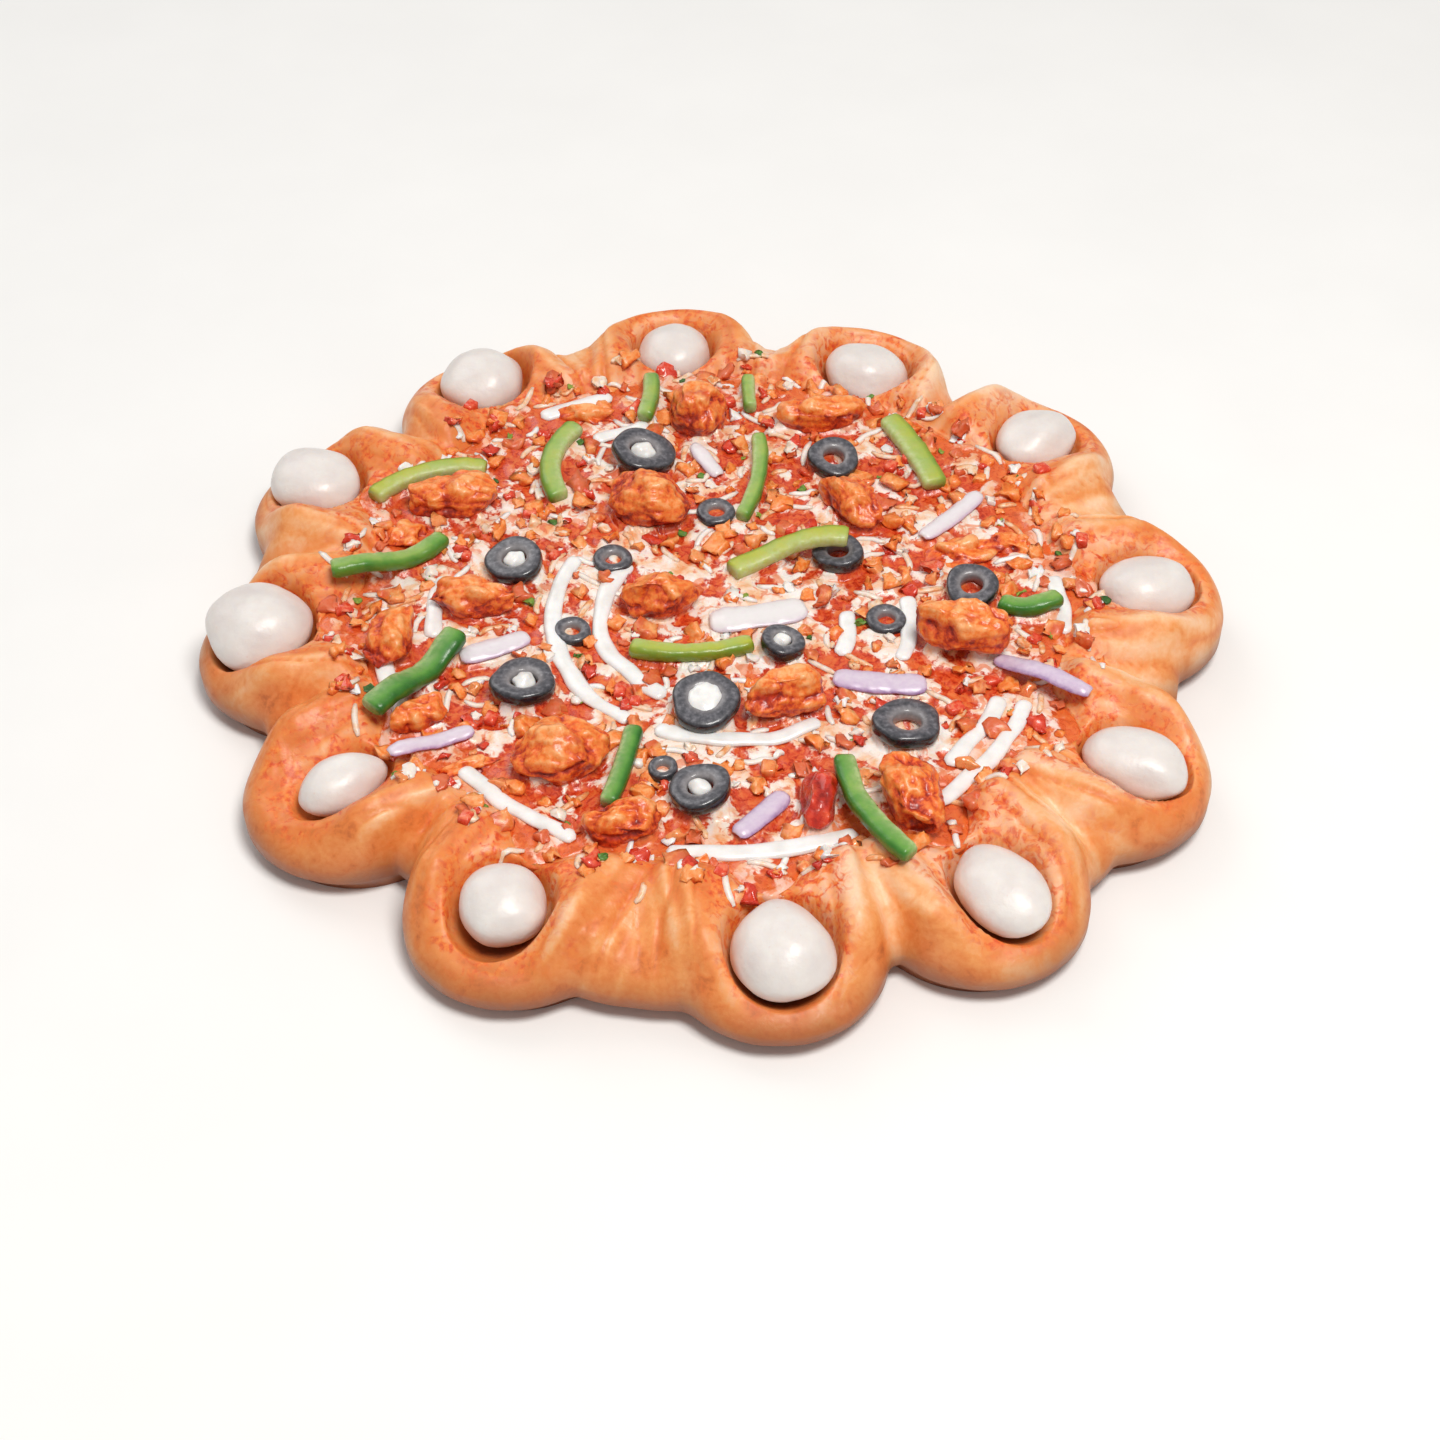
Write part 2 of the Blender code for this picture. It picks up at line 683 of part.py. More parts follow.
def circles_on_arc(x, y, turn, length, bend, width):
    """Circles in a row that cover an arc strip."""
    sweep = math.radians(bend)
    radius = length / sweep
    way = math.radians(turn)
    steps = max(2, math.ceil(length / width))
    spots = []
    for step in range(steps + 1):
        angle = sweep * (step / steps - 0.5)
        along, across = radius * math.sin(angle), radius * (1.0 - math.cos(angle))
        spots.append(
            (
                x + along * math.cos(way) - across * math.sin(way),
                y + along * math.sin(way) + across * math.cos(way),
                width / 2,
            )
        )
    return spots


def diced_pieces():
    """Small dice of tomato and crumbs of chicken, one to each free place of a sunflower pattern."""
    draw = random.Random(SEED)
    taken = taken_spots()
    inner, outer = DICE_REACH
    made = []
    for count in range(DICE_COUNT):
        share = math.sqrt((count + 0.5) / DICE_COUNT)
        size = draw.uniform(*DICE_SIZE)
        turn = draw.uniform(0.0, 90.0)
        x, y, _ = at(count * GOLDEN_ANGLE, inner + (outer - inner) * share, 0.0)
        if near_anything(x, y, size * DICE_HALF_DIAGONAL, taken):
            continue
        bm = bmesh.new()
        bmesh.ops.create_cube(bm, size=1.0)
        bm.transform(Matrix.Diagonal((size, size * DICE_NARROWING, DICE_HEIGHT, 1.0)))
        put(bm, x, y, turn)
        sink(bm)
        made.append(bm)
    return made


def bed():
    """The bed with the cream, the small olive slices and the dice joined to it."""
    whole = bare_bed()
    small = bpy.data.collections.new("baked_into_the_bed")
    bpy.context.scene.collection.children.link(small)
    pieces = [cream_arc(*arc) for arc in CREAM_ARCS]
    pieces += [sunken_olive(*row) for row in SUNKEN_OLIVES]
    pieces += [crumbled(row) for row in CRUMBLED]
    pieces += diced_pieces()
    for place, bm in enumerate(pieces):
        piece = finish(bm, f"small_{place:02d}", "bed")
        bpy.context.scene.collection.objects.unlink(piece)
        small.objects.link(piece)
    join = whole.modifiers.new("join", "BOOLEAN")
    join.operation = "UNION"
    join.operand_type = "COLLECTION"
    join.collection = small
    join.solver = "EXACT"
    bpy.context.view_layer.update()
    graph = bpy.context.evaluated_depsgraph_get()
    joined = bpy.data.meshes.new_from_object(whole.evaluated_get(graph))
    whole.modifiers.clear()
    whole.data = joined
    for piece in list(small.objects):
        bpy.data.objects.remove(piece)
    bpy.data.collections.remove(small)
    return whole


def numbered(name, rows, make):
    for place, row in enumerate(rows, start=1):
        make(f"{name}_{place:02d}", row)


def main():
    clear_scene()
    crust()
    bed()
    numbered("cheese_ball", PETALS, cheese_ball)
    numbered("onion", ONIONS, lambda name, row: strip(name, "onion", ONION_THICKNESS, *row))
    numbered("olive", OLIVES, lambda name, row: olive(name, *row))
    numbered("chicken", CHICKEN, lambda name, row: chunk(name, "chicken", row))
    numbered("tomato", TOMATO, lambda name, row: chunk(name, "tomato", row))
    numbered("pepper", PEPPERS, lambda name, row: strip(name, "pepper", PEPPER_THICKNESS, *row))


main()
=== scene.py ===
# %% [markdown]
# A pan pizza with a rim of petals, dressed for the table
#
# The solid pizza comes from the frame: every piece is there at its real size and place, but plain. Here
# each piece is made again with the surface of real food, in the place that its solid holds. Lengths are
# in millimetres, because kitchen sizes are easy to picture in them, and turn to metres when a mesh is done.

import math
import random
from collections import namedtuple

import bmesh
import bpy
from mathutils import Matrix, Vector, noise
from mathutils.bvhtree import BVHTree


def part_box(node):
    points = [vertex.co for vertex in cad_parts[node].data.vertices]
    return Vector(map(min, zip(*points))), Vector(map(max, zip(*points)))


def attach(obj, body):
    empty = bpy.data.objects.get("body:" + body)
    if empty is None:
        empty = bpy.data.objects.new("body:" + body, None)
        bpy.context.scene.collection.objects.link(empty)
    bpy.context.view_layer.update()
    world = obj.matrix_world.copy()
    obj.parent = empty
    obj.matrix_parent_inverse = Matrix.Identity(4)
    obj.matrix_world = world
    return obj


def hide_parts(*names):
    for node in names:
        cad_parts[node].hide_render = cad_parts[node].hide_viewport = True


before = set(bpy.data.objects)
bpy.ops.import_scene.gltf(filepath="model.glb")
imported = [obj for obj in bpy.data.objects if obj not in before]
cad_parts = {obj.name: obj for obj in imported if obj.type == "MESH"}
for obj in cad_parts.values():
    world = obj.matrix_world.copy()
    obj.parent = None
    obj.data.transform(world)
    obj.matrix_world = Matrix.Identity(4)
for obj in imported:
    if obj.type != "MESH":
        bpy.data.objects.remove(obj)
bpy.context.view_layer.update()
MM = 0.001
print("solid pieces:", len(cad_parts))

# %% [markdown]
# Small helpers
#
# A smooth step and a smooth maximum join shapes without a hard line, as dough does. They are used
# all over the crust, so they come first.

# %% Smooth joins
def smooth_step(low, high, value):
    share = min(max((value - low) / (high - low), 0.0), 1.0)
    return share * share * (3.0 - 2.0 * share)


def smooth_max(first, second, softness):
    share = max(softness - abs(first - second), 0.0) / softness
    return max(first, second) + share * share * softness / 4.0


def smooth_min(first, second, softness):
    return -smooth_max(-first, -second, softness)


def mix(first, second, share):
    return first + (second - first) * share


def grain(x, y, z, size):
    """Soft noise from about -1 to 1, with lumps of this size. Another z gives another pattern."""
    return noise.noise(Vector((x, y, z)) / size)


# %% [markdown]
# From mesh to finished piece
#
# A piece is drawn in millimetres where it belongs. Then it is scaled to metres, shaded smooth, given its
# finish and set on the pizza's one body, and the solids it stands for are hidden.

# %% Finish a piece
def finish_piece(bm, name, finish, slot, *solids):
    bm.transform(Matrix.Scale(MM, 4))
    mesh = bpy.data.meshes.new(name)
    bm.to_mesh(mesh)
    bm.free()
    mesh.shade_smooth()
    mesh.materials.append(finish)
    piece = bpy.data.objects.new(name, mesh)
    bpy.context.scene.collection.objects.link(piece)
    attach(piece, "root")
    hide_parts(*solids)
    return piece


def report(piece):
    count = sum(len(face.vertices) - 2 for face in piece.data.polygons)
    print(piece.name, count, "triangles")


# %% [markdown]
# Nodes for the finishes
#
# Every finish is built from a few kinds of node: noise read at the object's own coordinates, colour
# ramps, mixes and bumps. Short functions keep the finishes readable. Colours are written as six-digit
# paint codes and turned into the light values that the shader reads.

# %% Helpers for finishes
def light_value(part):
    return part / 12.92 if part <= 0.04045 else ((part + 0.055) / 1.055) ** 2.4


def colour(code):
    return tuple(light_value((code >> shift & 255) / 255) for shift in (16, 8, 0)) + (1.0,)


def add(tree, kind, sockets, **settings):
    """A node with its settings and its sockets, each a value or what is linked to it."""
    made = tree.nodes.new("ShaderNode" + kind)
    for key, value in settings.items():
        setattr(made, key, value)
    for key, value in sockets.items():
        if isinstance(value, bpy.types.NodeSocket):
            tree.links.new(value, made.inputs[key])
        else:
            made.inputs[key].default_value = value
    return made


def new_finish(name, **shader_values):
    finish = bpy.data.materials.new(name)
    finish.use_nodes = True
    shader = finish.node_tree.nodes["Principled BSDF"]
    for key, value in shader_values.items():
        shader.inputs[key.replace("_", " ").title()].default_value = value
    return finish, finish.node_tree, shader


def let_light_in(shader, weight, radius, depth):
    """Lets light wander this many millimetres under the surface, furthest in red."""
    shader.inputs["Subsurface Weight"].default_value = weight
    shader.inputs["Subsurface Radius"].default_value = radius
    shader.inputs["Subsurface Scale"].default_value = depth * MM


def spots(tree, size, detail=3.0, roughness=0.55, warp=0.0):
    """Noise with lumps of this size in millimetres."""
    place = add(tree, "TexCoord", {}).outputs["Object"]
    sockets = {"Vector": place, "Scale": 1.0 / (size * MM), "Detail": detail, "Roughness": roughness}
    return add(tree, "TexNoise", {**sockets, "Distortion": warp}).outputs["Fac"]


def between(tree, value, low, high, first=0.0, last=1.0):
    sockets = {"Value": value, "From Min": low, "From Max": high, "To Min": first, "To Max": last}
    return add(tree, "MapRange", sockets, interpolation_type="SMOOTHSTEP").outputs["Result"]


def calculate(tree, operation, first, second):
    return add(tree, "Math", {0: first, 1: second}, operation=operation, use_clamp=True).outputs["Value"]


def ramp(tree, value, *stops):
    """A colour for each value, from (place, paint code) stops."""
    made = add(tree, "ValToRGB", {"Fac": value})
    while len(made.color_ramp.elements) < len(stops):
        made.color_ramp.elements.new(0.5)
    for element, (place, code) in zip(made.color_ramp.elements, stops):
        element.position = place
        element.color = colour(code)
    return made.outputs["Color"]


def blend(tree, share, first, second):
    sockets = {"Factor": share, 6: first, 7: second}
    return add(tree, "Mix", sockets, data_type="RGBA").outputs[2]


def channels(tree, name):
    """The three values that a piece's points carry under this name."""
    read = add(tree, "Attribute", {}, attribute_name=name, attribute_type="GEOMETRY")
    split = add(tree, "SeparateColor", {"Color": read.outputs["Color"]})
    return split.outputs["Red"], split.outputs["Green"], split.outputs["Blue"]


def bump(tree, shader, height, strength, depth):
    sockets = {"Height": height, "Strength": strength, "Distance": depth * MM}
    tree.links.new(add(tree, "Bump", sockets).outputs["Normal"], shader.inputs["Normal"])


def write_points(bm, name, values):
    """Keeps three values from 0 to 1 on each point, for the finish to read."""
    layer = bm.verts.layers.float_color.new(name)
    for vert, (first, second, third) in zip(bm.verts, values):
        vert[layer] = (first, second, third, 1.0)


# %% [markdown]
# The twelve petals
#
# The rim is pulled into twelve petals, and no two are alike. One row for each gives its turn from +X in
# degrees, the distance at which its roll turns back, the height of the rim at the tip, and the crease and
# the notch that follow it. A second row gives its ball: how far out and to the side its middle is, its
# radii along and across the petal and upwards, the height of its middle, the gap left on its outer side,
# and how much its inner end is drawn in.

# %% The petals' and the balls' sizes
Petal = namedtuple("Petal", "turn reach rim crease notch")
PETALS = (
    Petal(96, 113, 24, -3.0, 118),
    Petal(66, 113, 23, 2.0, 119),
    Petal(37, 118, 17, 2.0, 127),
    Petal(4, 119, 20, 4.5, 125),
    Petal(-28, 120.5, 18, 4.5, 129),
    Petal(-55, 121, 14, 4.0, 121),
    Petal(-82, 118, 12, 0.0, 127),
    Petal(-116, 117.5, 13, 3.0, 114.5),
    Petal(-147, 117, 15, 4.0, 122),
    Petal(-176, 118, 14, 2.5, 129),
    Petal(-205, 120.5, 14, 3.0, 121),
    Petal(-234, 117, 16, -3.0, 123),
)
Ball = namedtuple("Ball", "out aside along across tall height gap taper")
BALLS = (
    Ball(112.0, 0.0, 11.5, 11.3, 8.2, 17.2, 0.0, 0.0),
    Ball(111.0, 0.0, 12.0, 13.0, 8.6, 17.2, 0.0, 0.1),
    Ball(116.5, 0.5, 13.2, 10.5, 7.8, 17.3, 0.0, 0.0),
    Ball(117.6, 0.0, 13.5, 10.6, 7.6, 16.8, 0.0, 0.05),
    Ball(120.6, 0.0, 14.3, 10.2, 7.8, 17.2, 0.0, 0.0),
    Ball(121.0, 0.0, 14.8, 10.9, 8.3, 17.2, 0.0, 0.0),
    Ball(118.8, 0.0, 14.3, 12.9, 9.8, 17.2, 0.0, 0.05),
    Ball(114.6, 0.0, 11.8, 11.8, 8.6, 16.6, 3.2, 0.12),
    Ball(112.4, 3.3, 12.4, 8.4, 7.2, 17.2, 1.5, 0.4),
    Ball(120.6, 0.0, 14.6, 14.3, 10.4, 17.8, 0.0, 0.0),
    Ball(123.6, 0.0, 13.8, 11.8, 8.2, 17.2, 0.0, 0.05),
    Ball(118.2, -2.0, 12.5, 13.0, 9.0, 17.4, 0.0, 0.1),
)
HALF_PETAL = math.radians(15.0)


def turned_by(turn, other):
    return (turn - other + math.pi) % (2.0 * math.pi) - math.pi


def nearest_petal(turn):
    return min(PETALS, key=lambda petal: abs(turned_by(turn, math.radians(petal.turn))))


def ball_of(petal):
    return BALLS[PETALS.index(petal)]


def petal_frame(petal, x, y):
    """How far out along the petal's middle line a place is, and how far to the side."""
    turn = math.radians(petal.turn)
    return (x * math.cos(turn) + y * math.sin(turn), y * math.cos(turn) - x * math.sin(turn))


# %% [markdown]
# The outline of the dough and of the bed
#
# The dough's side is a round web with twelve round lobes melted into it. The bed is a disc with a
# tongue of sauce that runs up to each ball. Both are rules that give a distance for every turn.

# %% Outlines
WEB_SOFTNESS = 3.0
LOBE_RADIUS = 27.0
LOBE_SET_IN = 7.0
BED_REACH = 94.5
BED_SHIFT = 3.0
BED_TONGUE_HALF_WIDTH = 15.0
BED_TO_BALL = 0.9


def notch_reach(turn):
    petal = nearest_petal(turn)
    aside = turned_by(turn, math.radians(petal.turn))
    before = PETALS[PETALS.index(petal) - 1]
    return mix(before.notch, petal.notch, smooth_step(-HALF_PETAL, HALF_PETAL, -aside))


def side_reach(turn):
    reach = notch_reach(turn)
    for petal in PETALS:
        off = turned_by(turn, math.radians(petal.turn))
        if abs(off) > 2.0 * HALF_PETAL:
            continue
        middle = petal.reach - LOBE_SET_IN
        room = max(LOBE_RADIUS**2 - (middle * math.sin(off)) ** 2, 0.0)
        reach = smooth_max(reach, middle * math.cos(off) + math.sqrt(room), WEB_SOFTNESS)
    return reach


def bed_reach(turn):
    petal = nearest_petal(turn)
    disc = BED_REACH + BED_SHIFT * math.sin(turn)
    aside = disc * math.sin(turned_by(turn, math.radians(petal.turn)))
    tongue = ball_of(petal).out - ball_of(petal).along - BED_TO_BALL - disc
    if abs(aside) > BED_TONGUE_HALF_WIDTH:
        return disc
    return disc + tongue * 0.5 * (1.0 + math.cos(math.pi * aside / BED_TONGUE_HALF_WIDTH))


# %% [markdown]
# The form of the dough's top
#
# Dough folded round a ball makes a horseshoe roll: high beside the ball and lower at the tip, where it
# is stretched thin. Between two rolls the dough sags into a saddle with a crease. Each spoke of the mesh
# knows its petal and its neighbour, and close to the line between two petals both have a say, so that
# there is no seam.

# %% Height of the dough
SIDE_HEIGHT = 6.0
EDGE_ROUND = 8.5
NOTCH_HEIGHT = 14.0
NOTCH_RUN_OUT = 2.0
SHOULDER_HEIGHT = 22.5
CREASE_HALF_WIDTH = 9.0
ROLL_HEIGHT = 25.0
ROLL_START = 84.5
ROLL_REACH = 18.8
ROLL_WIDTH = 8.0
RIM_START = -4.0
RIM_END = 14.0
PUFF = 0.9
PUFF_SIZE = 17.0
POCKET_ROOM = 0.9
POCKET_SLOPE = 4.0
POCKET_SOFTNESS = 2.0
SHOULDER_RUN = 7.0
SHOULDER_FOOT = 19.3
NEIGHBOUR_BLEND = math.radians(4.0)

Spoke = namedtuple("Spoke", "turn petal neighbour share side floor notch")


def spoke_at(turn):
    petal = nearest_petal(turn)
    aside = turned_by(turn, math.radians(petal.turn))
    step = 1 if aside < 0.0 else -1
    neighbour = PETALS[(PETALS.index(petal) + step) % len(PETALS)]
    away = abs(turned_by(turn, math.radians(neighbour.turn))) - abs(aside)
    share = 0.5 * (1.0 - smooth_step(0.0, NEIGHBOUR_BLEND, away))
    return Spoke(turn, petal, neighbour, share, side_reach(turn), bed_reach(turn), notch_reach(turn))


def from_spine(petal, x, y):
    """Distance from the line that runs along the petal's middle to its pocket."""
    out, aside = petal_frame(petal, x, y)
    return math.hypot(out - min(max(out, ROLL_START), petal.reach), aside)


def roll_height(petal, x, y, web):
    out, _ = petal_frame(petal, x, y)
    towards_tip = smooth_step(petal.reach + RIM_START, petal.reach + RIM_END, out)
    crest = mix(ROLL_HEIGHT, petal.rim, towards_tip)
    roll = math.exp(-(((from_spine(petal, x, y) - ROLL_REACH) / ROLL_WIDTH) ** 2))
    return (crest - web) * roll


def pocket_floor(petal, x, y):
    ball = ball_of(petal)
    out, aside = petal_frame(petal, x, y)
    along = ball.along + POCKET_ROOM + ball.gap / 2
    outward = (out - ball.out - ball.gap / 2) / along
    sideways = (aside - ball.aside) / (ball.across + POCKET_ROOM)
    away = math.hypot(outward, sideways)
    if away >= 1.0:
        return ball.height + (away - 1.0) * along * POCKET_SLOPE
    return ball.height - (ball.tall + POCKET_ROOM) * math.sqrt(1.0 - away * away)


# %% [markdown]
# Folds, puffs and blisters
#
# Baked dough is never smooth. Long soft folds follow the rolls round the pockets and run down the
# saddles to the notches, thin creases part them, low puffs swell where gas was trapped, and small
# blisters toast dark. The same values that shape the surface are kept for the colour: the crests of
# the folds get painted light and are paler, and the creases get painted shade and are darker.

# %% Relief of the dough
FOLD_SIZE = 3.6
FOLD_RUN = 26.0
FOLD_HEIGHT = 1.15
CREASE_DEPTH = 1.3
LUMP_HEIGHT = 0.5
SKIN_HEIGHT = 0.14
BLISTER_HEIGHT = 0.35
BLISTER_SIZE = 7.0


def folds(petal, x, y):
    """Fold height from -1 to 1 and crease depth from 0 to 1 at a place, along lines round the pocket."""
    across = from_spine(petal, x, y) / FOLD_SIZE
    place = Vector((x / FOLD_RUN, y / FOLD_RUN, across + PETALS.index(petal) * 11.0))
    fold = noise.noise(place)
    line = 1.0 - abs(2.0 * noise.noise(place * 0.55 + Vector((5.0, 3.0, 0.0))))
    return fold, max(line, 0.0) ** 6


def dough_relief(spoke, x, y):
    fold, line = folds(spoke.petal, x, y)
    if spoke.share > 0.0:
        other_fold, other_line = folds(spoke.neighbour, x, y)
        fold = mix(fold, other_fold, spoke.share)
        line = mix(line, other_line, spoke.share)
    away = from_spine(spoke.petal, x, y)
    saddle = smooth_step(ROLL_REACH - 3.0, ROLL_REACH + 5.0, away)
    strength = mix(0.45, 1.0, saddle)
    lump = grain(x, y, 40.0, 6.5)
    skin = grain(x, y, 80.0, 1.9)
    blister = smooth_step(0.42, 0.72, grain(x, y, 120.0, BLISTER_SIZE))
    height = FOLD_HEIGHT * strength * fold - CREASE_DEPTH * strength * line
    height += LUMP_HEIGHT * lump + SKIN_HEIGHT * skin + BLISTER_HEIGHT * blister
    return height, fold, line, blister


def dough_surface(spoke, reach):
    """Height of the dough's top at a distance from the middle, with what colours it there."""
    x, y = reach * math.cos(spoke.turn), reach * math.sin(spoke.turn)
    _, aside = petal_frame(spoke.petal, x, y)
    slope = smooth_step(BED_REACH, spoke.notch + NOTCH_RUN_OUT, reach)
    web = mix(SHOULDER_HEIGHT, NOTCH_HEIGHT, slope)
    half_gap = reach * math.sin(HALF_PETAL)
    crease = spoke.petal.crease if aside < 0.0 else PETALS[PETALS.index(spoke.petal) - 1].crease
    web -= crease * smooth_step(half_gap - CREASE_HALF_WIDTH, half_gap, abs(aside))
    roll = roll_height(spoke.petal, x, y, web)
    if spoke.share > 0.0:
        roll = mix(roll, roll_height(spoke.neighbour, x, y, web), spoke.share)
    height = web + roll + PUFF * noise.noise(Vector((x, y, 0.0)) / PUFF_SIZE)
    height = mix(SHOULDER_FOOT, height, smooth_step(0.0, SHOULDER_RUN, reach - spoke.floor) ** 0.6)
    relief, fold, line, blister = dough_relief(spoke, x, y)
    inward = spoke.side - reach
    height += relief * smooth_step(0.0, EDGE_ROUND, inward)
    if inward < EDGE_ROUND:
        height = mix(SIDE_HEIGHT, height, math.sqrt(max(1.0 - (1.0 - inward / EDGE_ROUND) ** 2, 0.0)))
    pocket = pocket_floor(spoke.petal, x, y)
    return x, y, smooth_min(height, pocket, POCKET_SOFTNESS), fold, line, blister


# %% [markdown]
# The crust's mesh
#
# The crust is a turned shape whose section changes all the way round. So a flat sheet is wrapped round
# the middle: its columns become spokes and its rows become rings, and each point is moved to its true
# place, up the side, over the top and down to the floor under the bed. Points carry three values for
# the colour: how toasted, with painted shade added in the creases, on the front rims and at the pocket
# bottoms; how stained with sauce; and how much painted shade darkens them towards the foot.

# %% Model the crust
SPOKES = 900
FOOT_SET_IN = 5.0
SIDE_RINGS = 9
TOP_RINGS = 98
TOP_CROWDING = 1.5
FLOOR_HEIGHT = 14.5
SIDE_WAVE = 0.45
# The front rims get painted shade, the left side is darker and the right paler, and only the painted
# shadow at the bottom of a pocket is darker than this.
LEFT_DARKENING = 0.08
FRONT_RIM_SHADE = 0.26
MOST_TOASTED = 0.7
# Webs between petals that came out paler or browner: x, y, reach and change
UNEVEN_BAKING = ((39, -97, 24, -0.3), (-16, -104, 22, 0.16), (90, -62, 20, -0.1), (-105, -50, 24, 0.1))


def sheet_to_wrap(spokes, rings):
    """A flat sheet: along x its points tell their turn round the middle, and along y their ring."""
    bm = bmesh.new()
    bmesh.ops.create_grid(bm, x_segments=spokes, y_segments=rings - 1, size=0.5)
    stretch = Matrix.Diagonal((2.0 * math.pi, rings - 1.0, 1.0, 1.0))
    bm.transform(stretch @ Matrix.Translation((0.0, 0.5, 0.0)))
    return bm


def close_wrapped(bm):
    """Joins the wrapped sheet's two ends, fills its open rings and turns its faces outwards."""
    bmesh.ops.remove_doubles(bm, verts=bm.verts[:], dist=0.001)
    bmesh.ops.holes_fill(bm, edges=[edge for edge in bm.edges if edge.is_boundary], sides=0)
    bmesh.ops.recalc_face_normals(bm, faces=bm.faces[:])


def side_place(spoke, share):
    """The side from the foot up to where the top begins, with its faint waves."""
    height = SIDE_HEIGHT * share
    curve = math.cos(0.5 * math.pi * min(height / SIDE_HEIGHT, 1.0)) ** 1.6
    reach = spoke.side - FOOT_SET_IN * curve
    x, y = reach * math.cos(spoke.turn), reach * math.sin(spoke.turn)
    wave = SIDE_WAVE * (0.5 + 0.5 * grain(x, y, height * 2.0, 7.0)) * smooth_step(0.0, 0.4, share)
    reach -= wave
    return reach * math.cos(spoke.turn), reach * math.sin(spoke.turn), height


def nearness(x, y, patch_x, patch_y, size, core):
    """1 in the core of a round patch, and falling softly to 0 at its edge."""
    return 1.0 - smooth_step(core, 1.0, math.hypot(x - patch_x, y - patch_y) / size)


def dough_colour(spoke, x, y, height, fold, line, blister):
    """How toasted a place on the dough is, with painted light and shade added, how stained with sauce, and
    how much painted shade darkens it towards the foot.
    """
    reach = math.hypot(x, y)
    away = from_spine(spoke.petal, x, y)
    crest = smooth_step(9.0, 19.0, height)
    # Painted light and shade: paler on the crests of the folds and darker along the creases; blisters and
    # noise toast it too.
    toast_and_shade = 0.41 - 0.45 * fold + 0.3 * line + 0.15 * blister + 0.25 * grain(x, y, 7.0, 16.0)
    # Painted shade on the outer rims at the front; and darker to the left, paler to the right.
    rim = smooth_step(spoke.side - 13.0, spoke.side - 3.0, reach)
    front = 0.5 - 0.5 * math.sin(spoke.turn)
    toast_and_shade += FRONT_RIM_SHADE * front * rim - LEFT_DARKENING * math.cos(spoke.turn - 0.3)
    for *patch, change in UNEVEN_BAKING:
        toast_and_shade += change * nearness(x, y, *patch, 0.3)
    toast_and_shade = min(toast_and_shade, MOST_TOASTED)
    ball = ball_of(spoke.petal)
    # Painted shadow at the bottom of each pocket, under and round its ball.
    if away < ROLL_REACH - 2.0 and reach > spoke.floor:
        toast_and_shade = max(toast_and_shade, 1.0 - smooth_step(ball.height - 9.0, ball.height - 3.0, height))
    pocket = 1.0 - smooth_step(ROLL_REACH - 4.0, ROLL_REACH + 1.0, away)
    beside_bed = 1.0 - smooth_step(spoke.floor, spoke.floor + 20.0, reach)
    stain = max(0.85 * beside_bed + 0.6 * grain(x, y, 55.0, 4.5) + 0.4 * line - 0.15, 0.0) * crest
    stain += 0.8 * pocket * smooth_step(ball.height - 8.0, ball.height - 2.0, height)
    # Painted shade, growing towards the foot of the side.
    shade = 1.0 - smooth_step(3.0, 15.5, height + 2.0 * grain(x, y, 21.0, 12.0))
    return [min(max(value, 0.0), 1.0) for value in (toast_and_shade, stain, shade)]


def crust_mesh():
    bm = sheet_to_wrap(SPOKES, SIDE_RINGS + TOP_RINGS + 1)
    spokes = {}
    values = []
    for vert in bm.verts:
        turn, ring = vert.co.x, round(vert.co.y)
        if turn not in spokes:
            spokes[turn] = spoke_at(turn)
        spoke = spokes[turn]
        fold = line = blister = 0.0
        if ring < SIDE_RINGS:
            vert.co = side_place(spoke, ring / SIDE_RINGS)
        elif ring < SIDE_RINGS + TOP_RINGS:
            share = ((ring - SIDE_RINGS) / (TOP_RINGS - 1)) ** TOP_CROWDING
            top, bottom = spoke.side - SIDE_WAVE, spoke.floor - 0.4
            *place, fold, line, blister = dough_surface(spoke, mix(top, bottom, share))
            vert.co = place
        else:
            vert.co = Vector((math.cos(turn), math.sin(turn), 0.0)) * (spoke.floor - 0.5)
            vert.co.z = FLOOR_HEIGHT
        values.append(dough_colour(spoke, *vert.co, fold, line, blister))
    write_points(bm, "tint", values)
    close_wrapped(bm)
    return bm


# %% [markdown]
# The finish of baked dough
#
# Bread crust is matt with a faint buttery gloss. It is peach on its ridges and orange in the folds
# between them, with painted light on the crests and painted shade in the folds, and a painted shade
# makes it pinkish brown down the side. Sauce and oil have stained it red round the pockets, and
# painted shadow darkens the pocket bottoms. The colour comes from the values on the points, broken up
# by noise of two sizes, and light goes a little way into it.

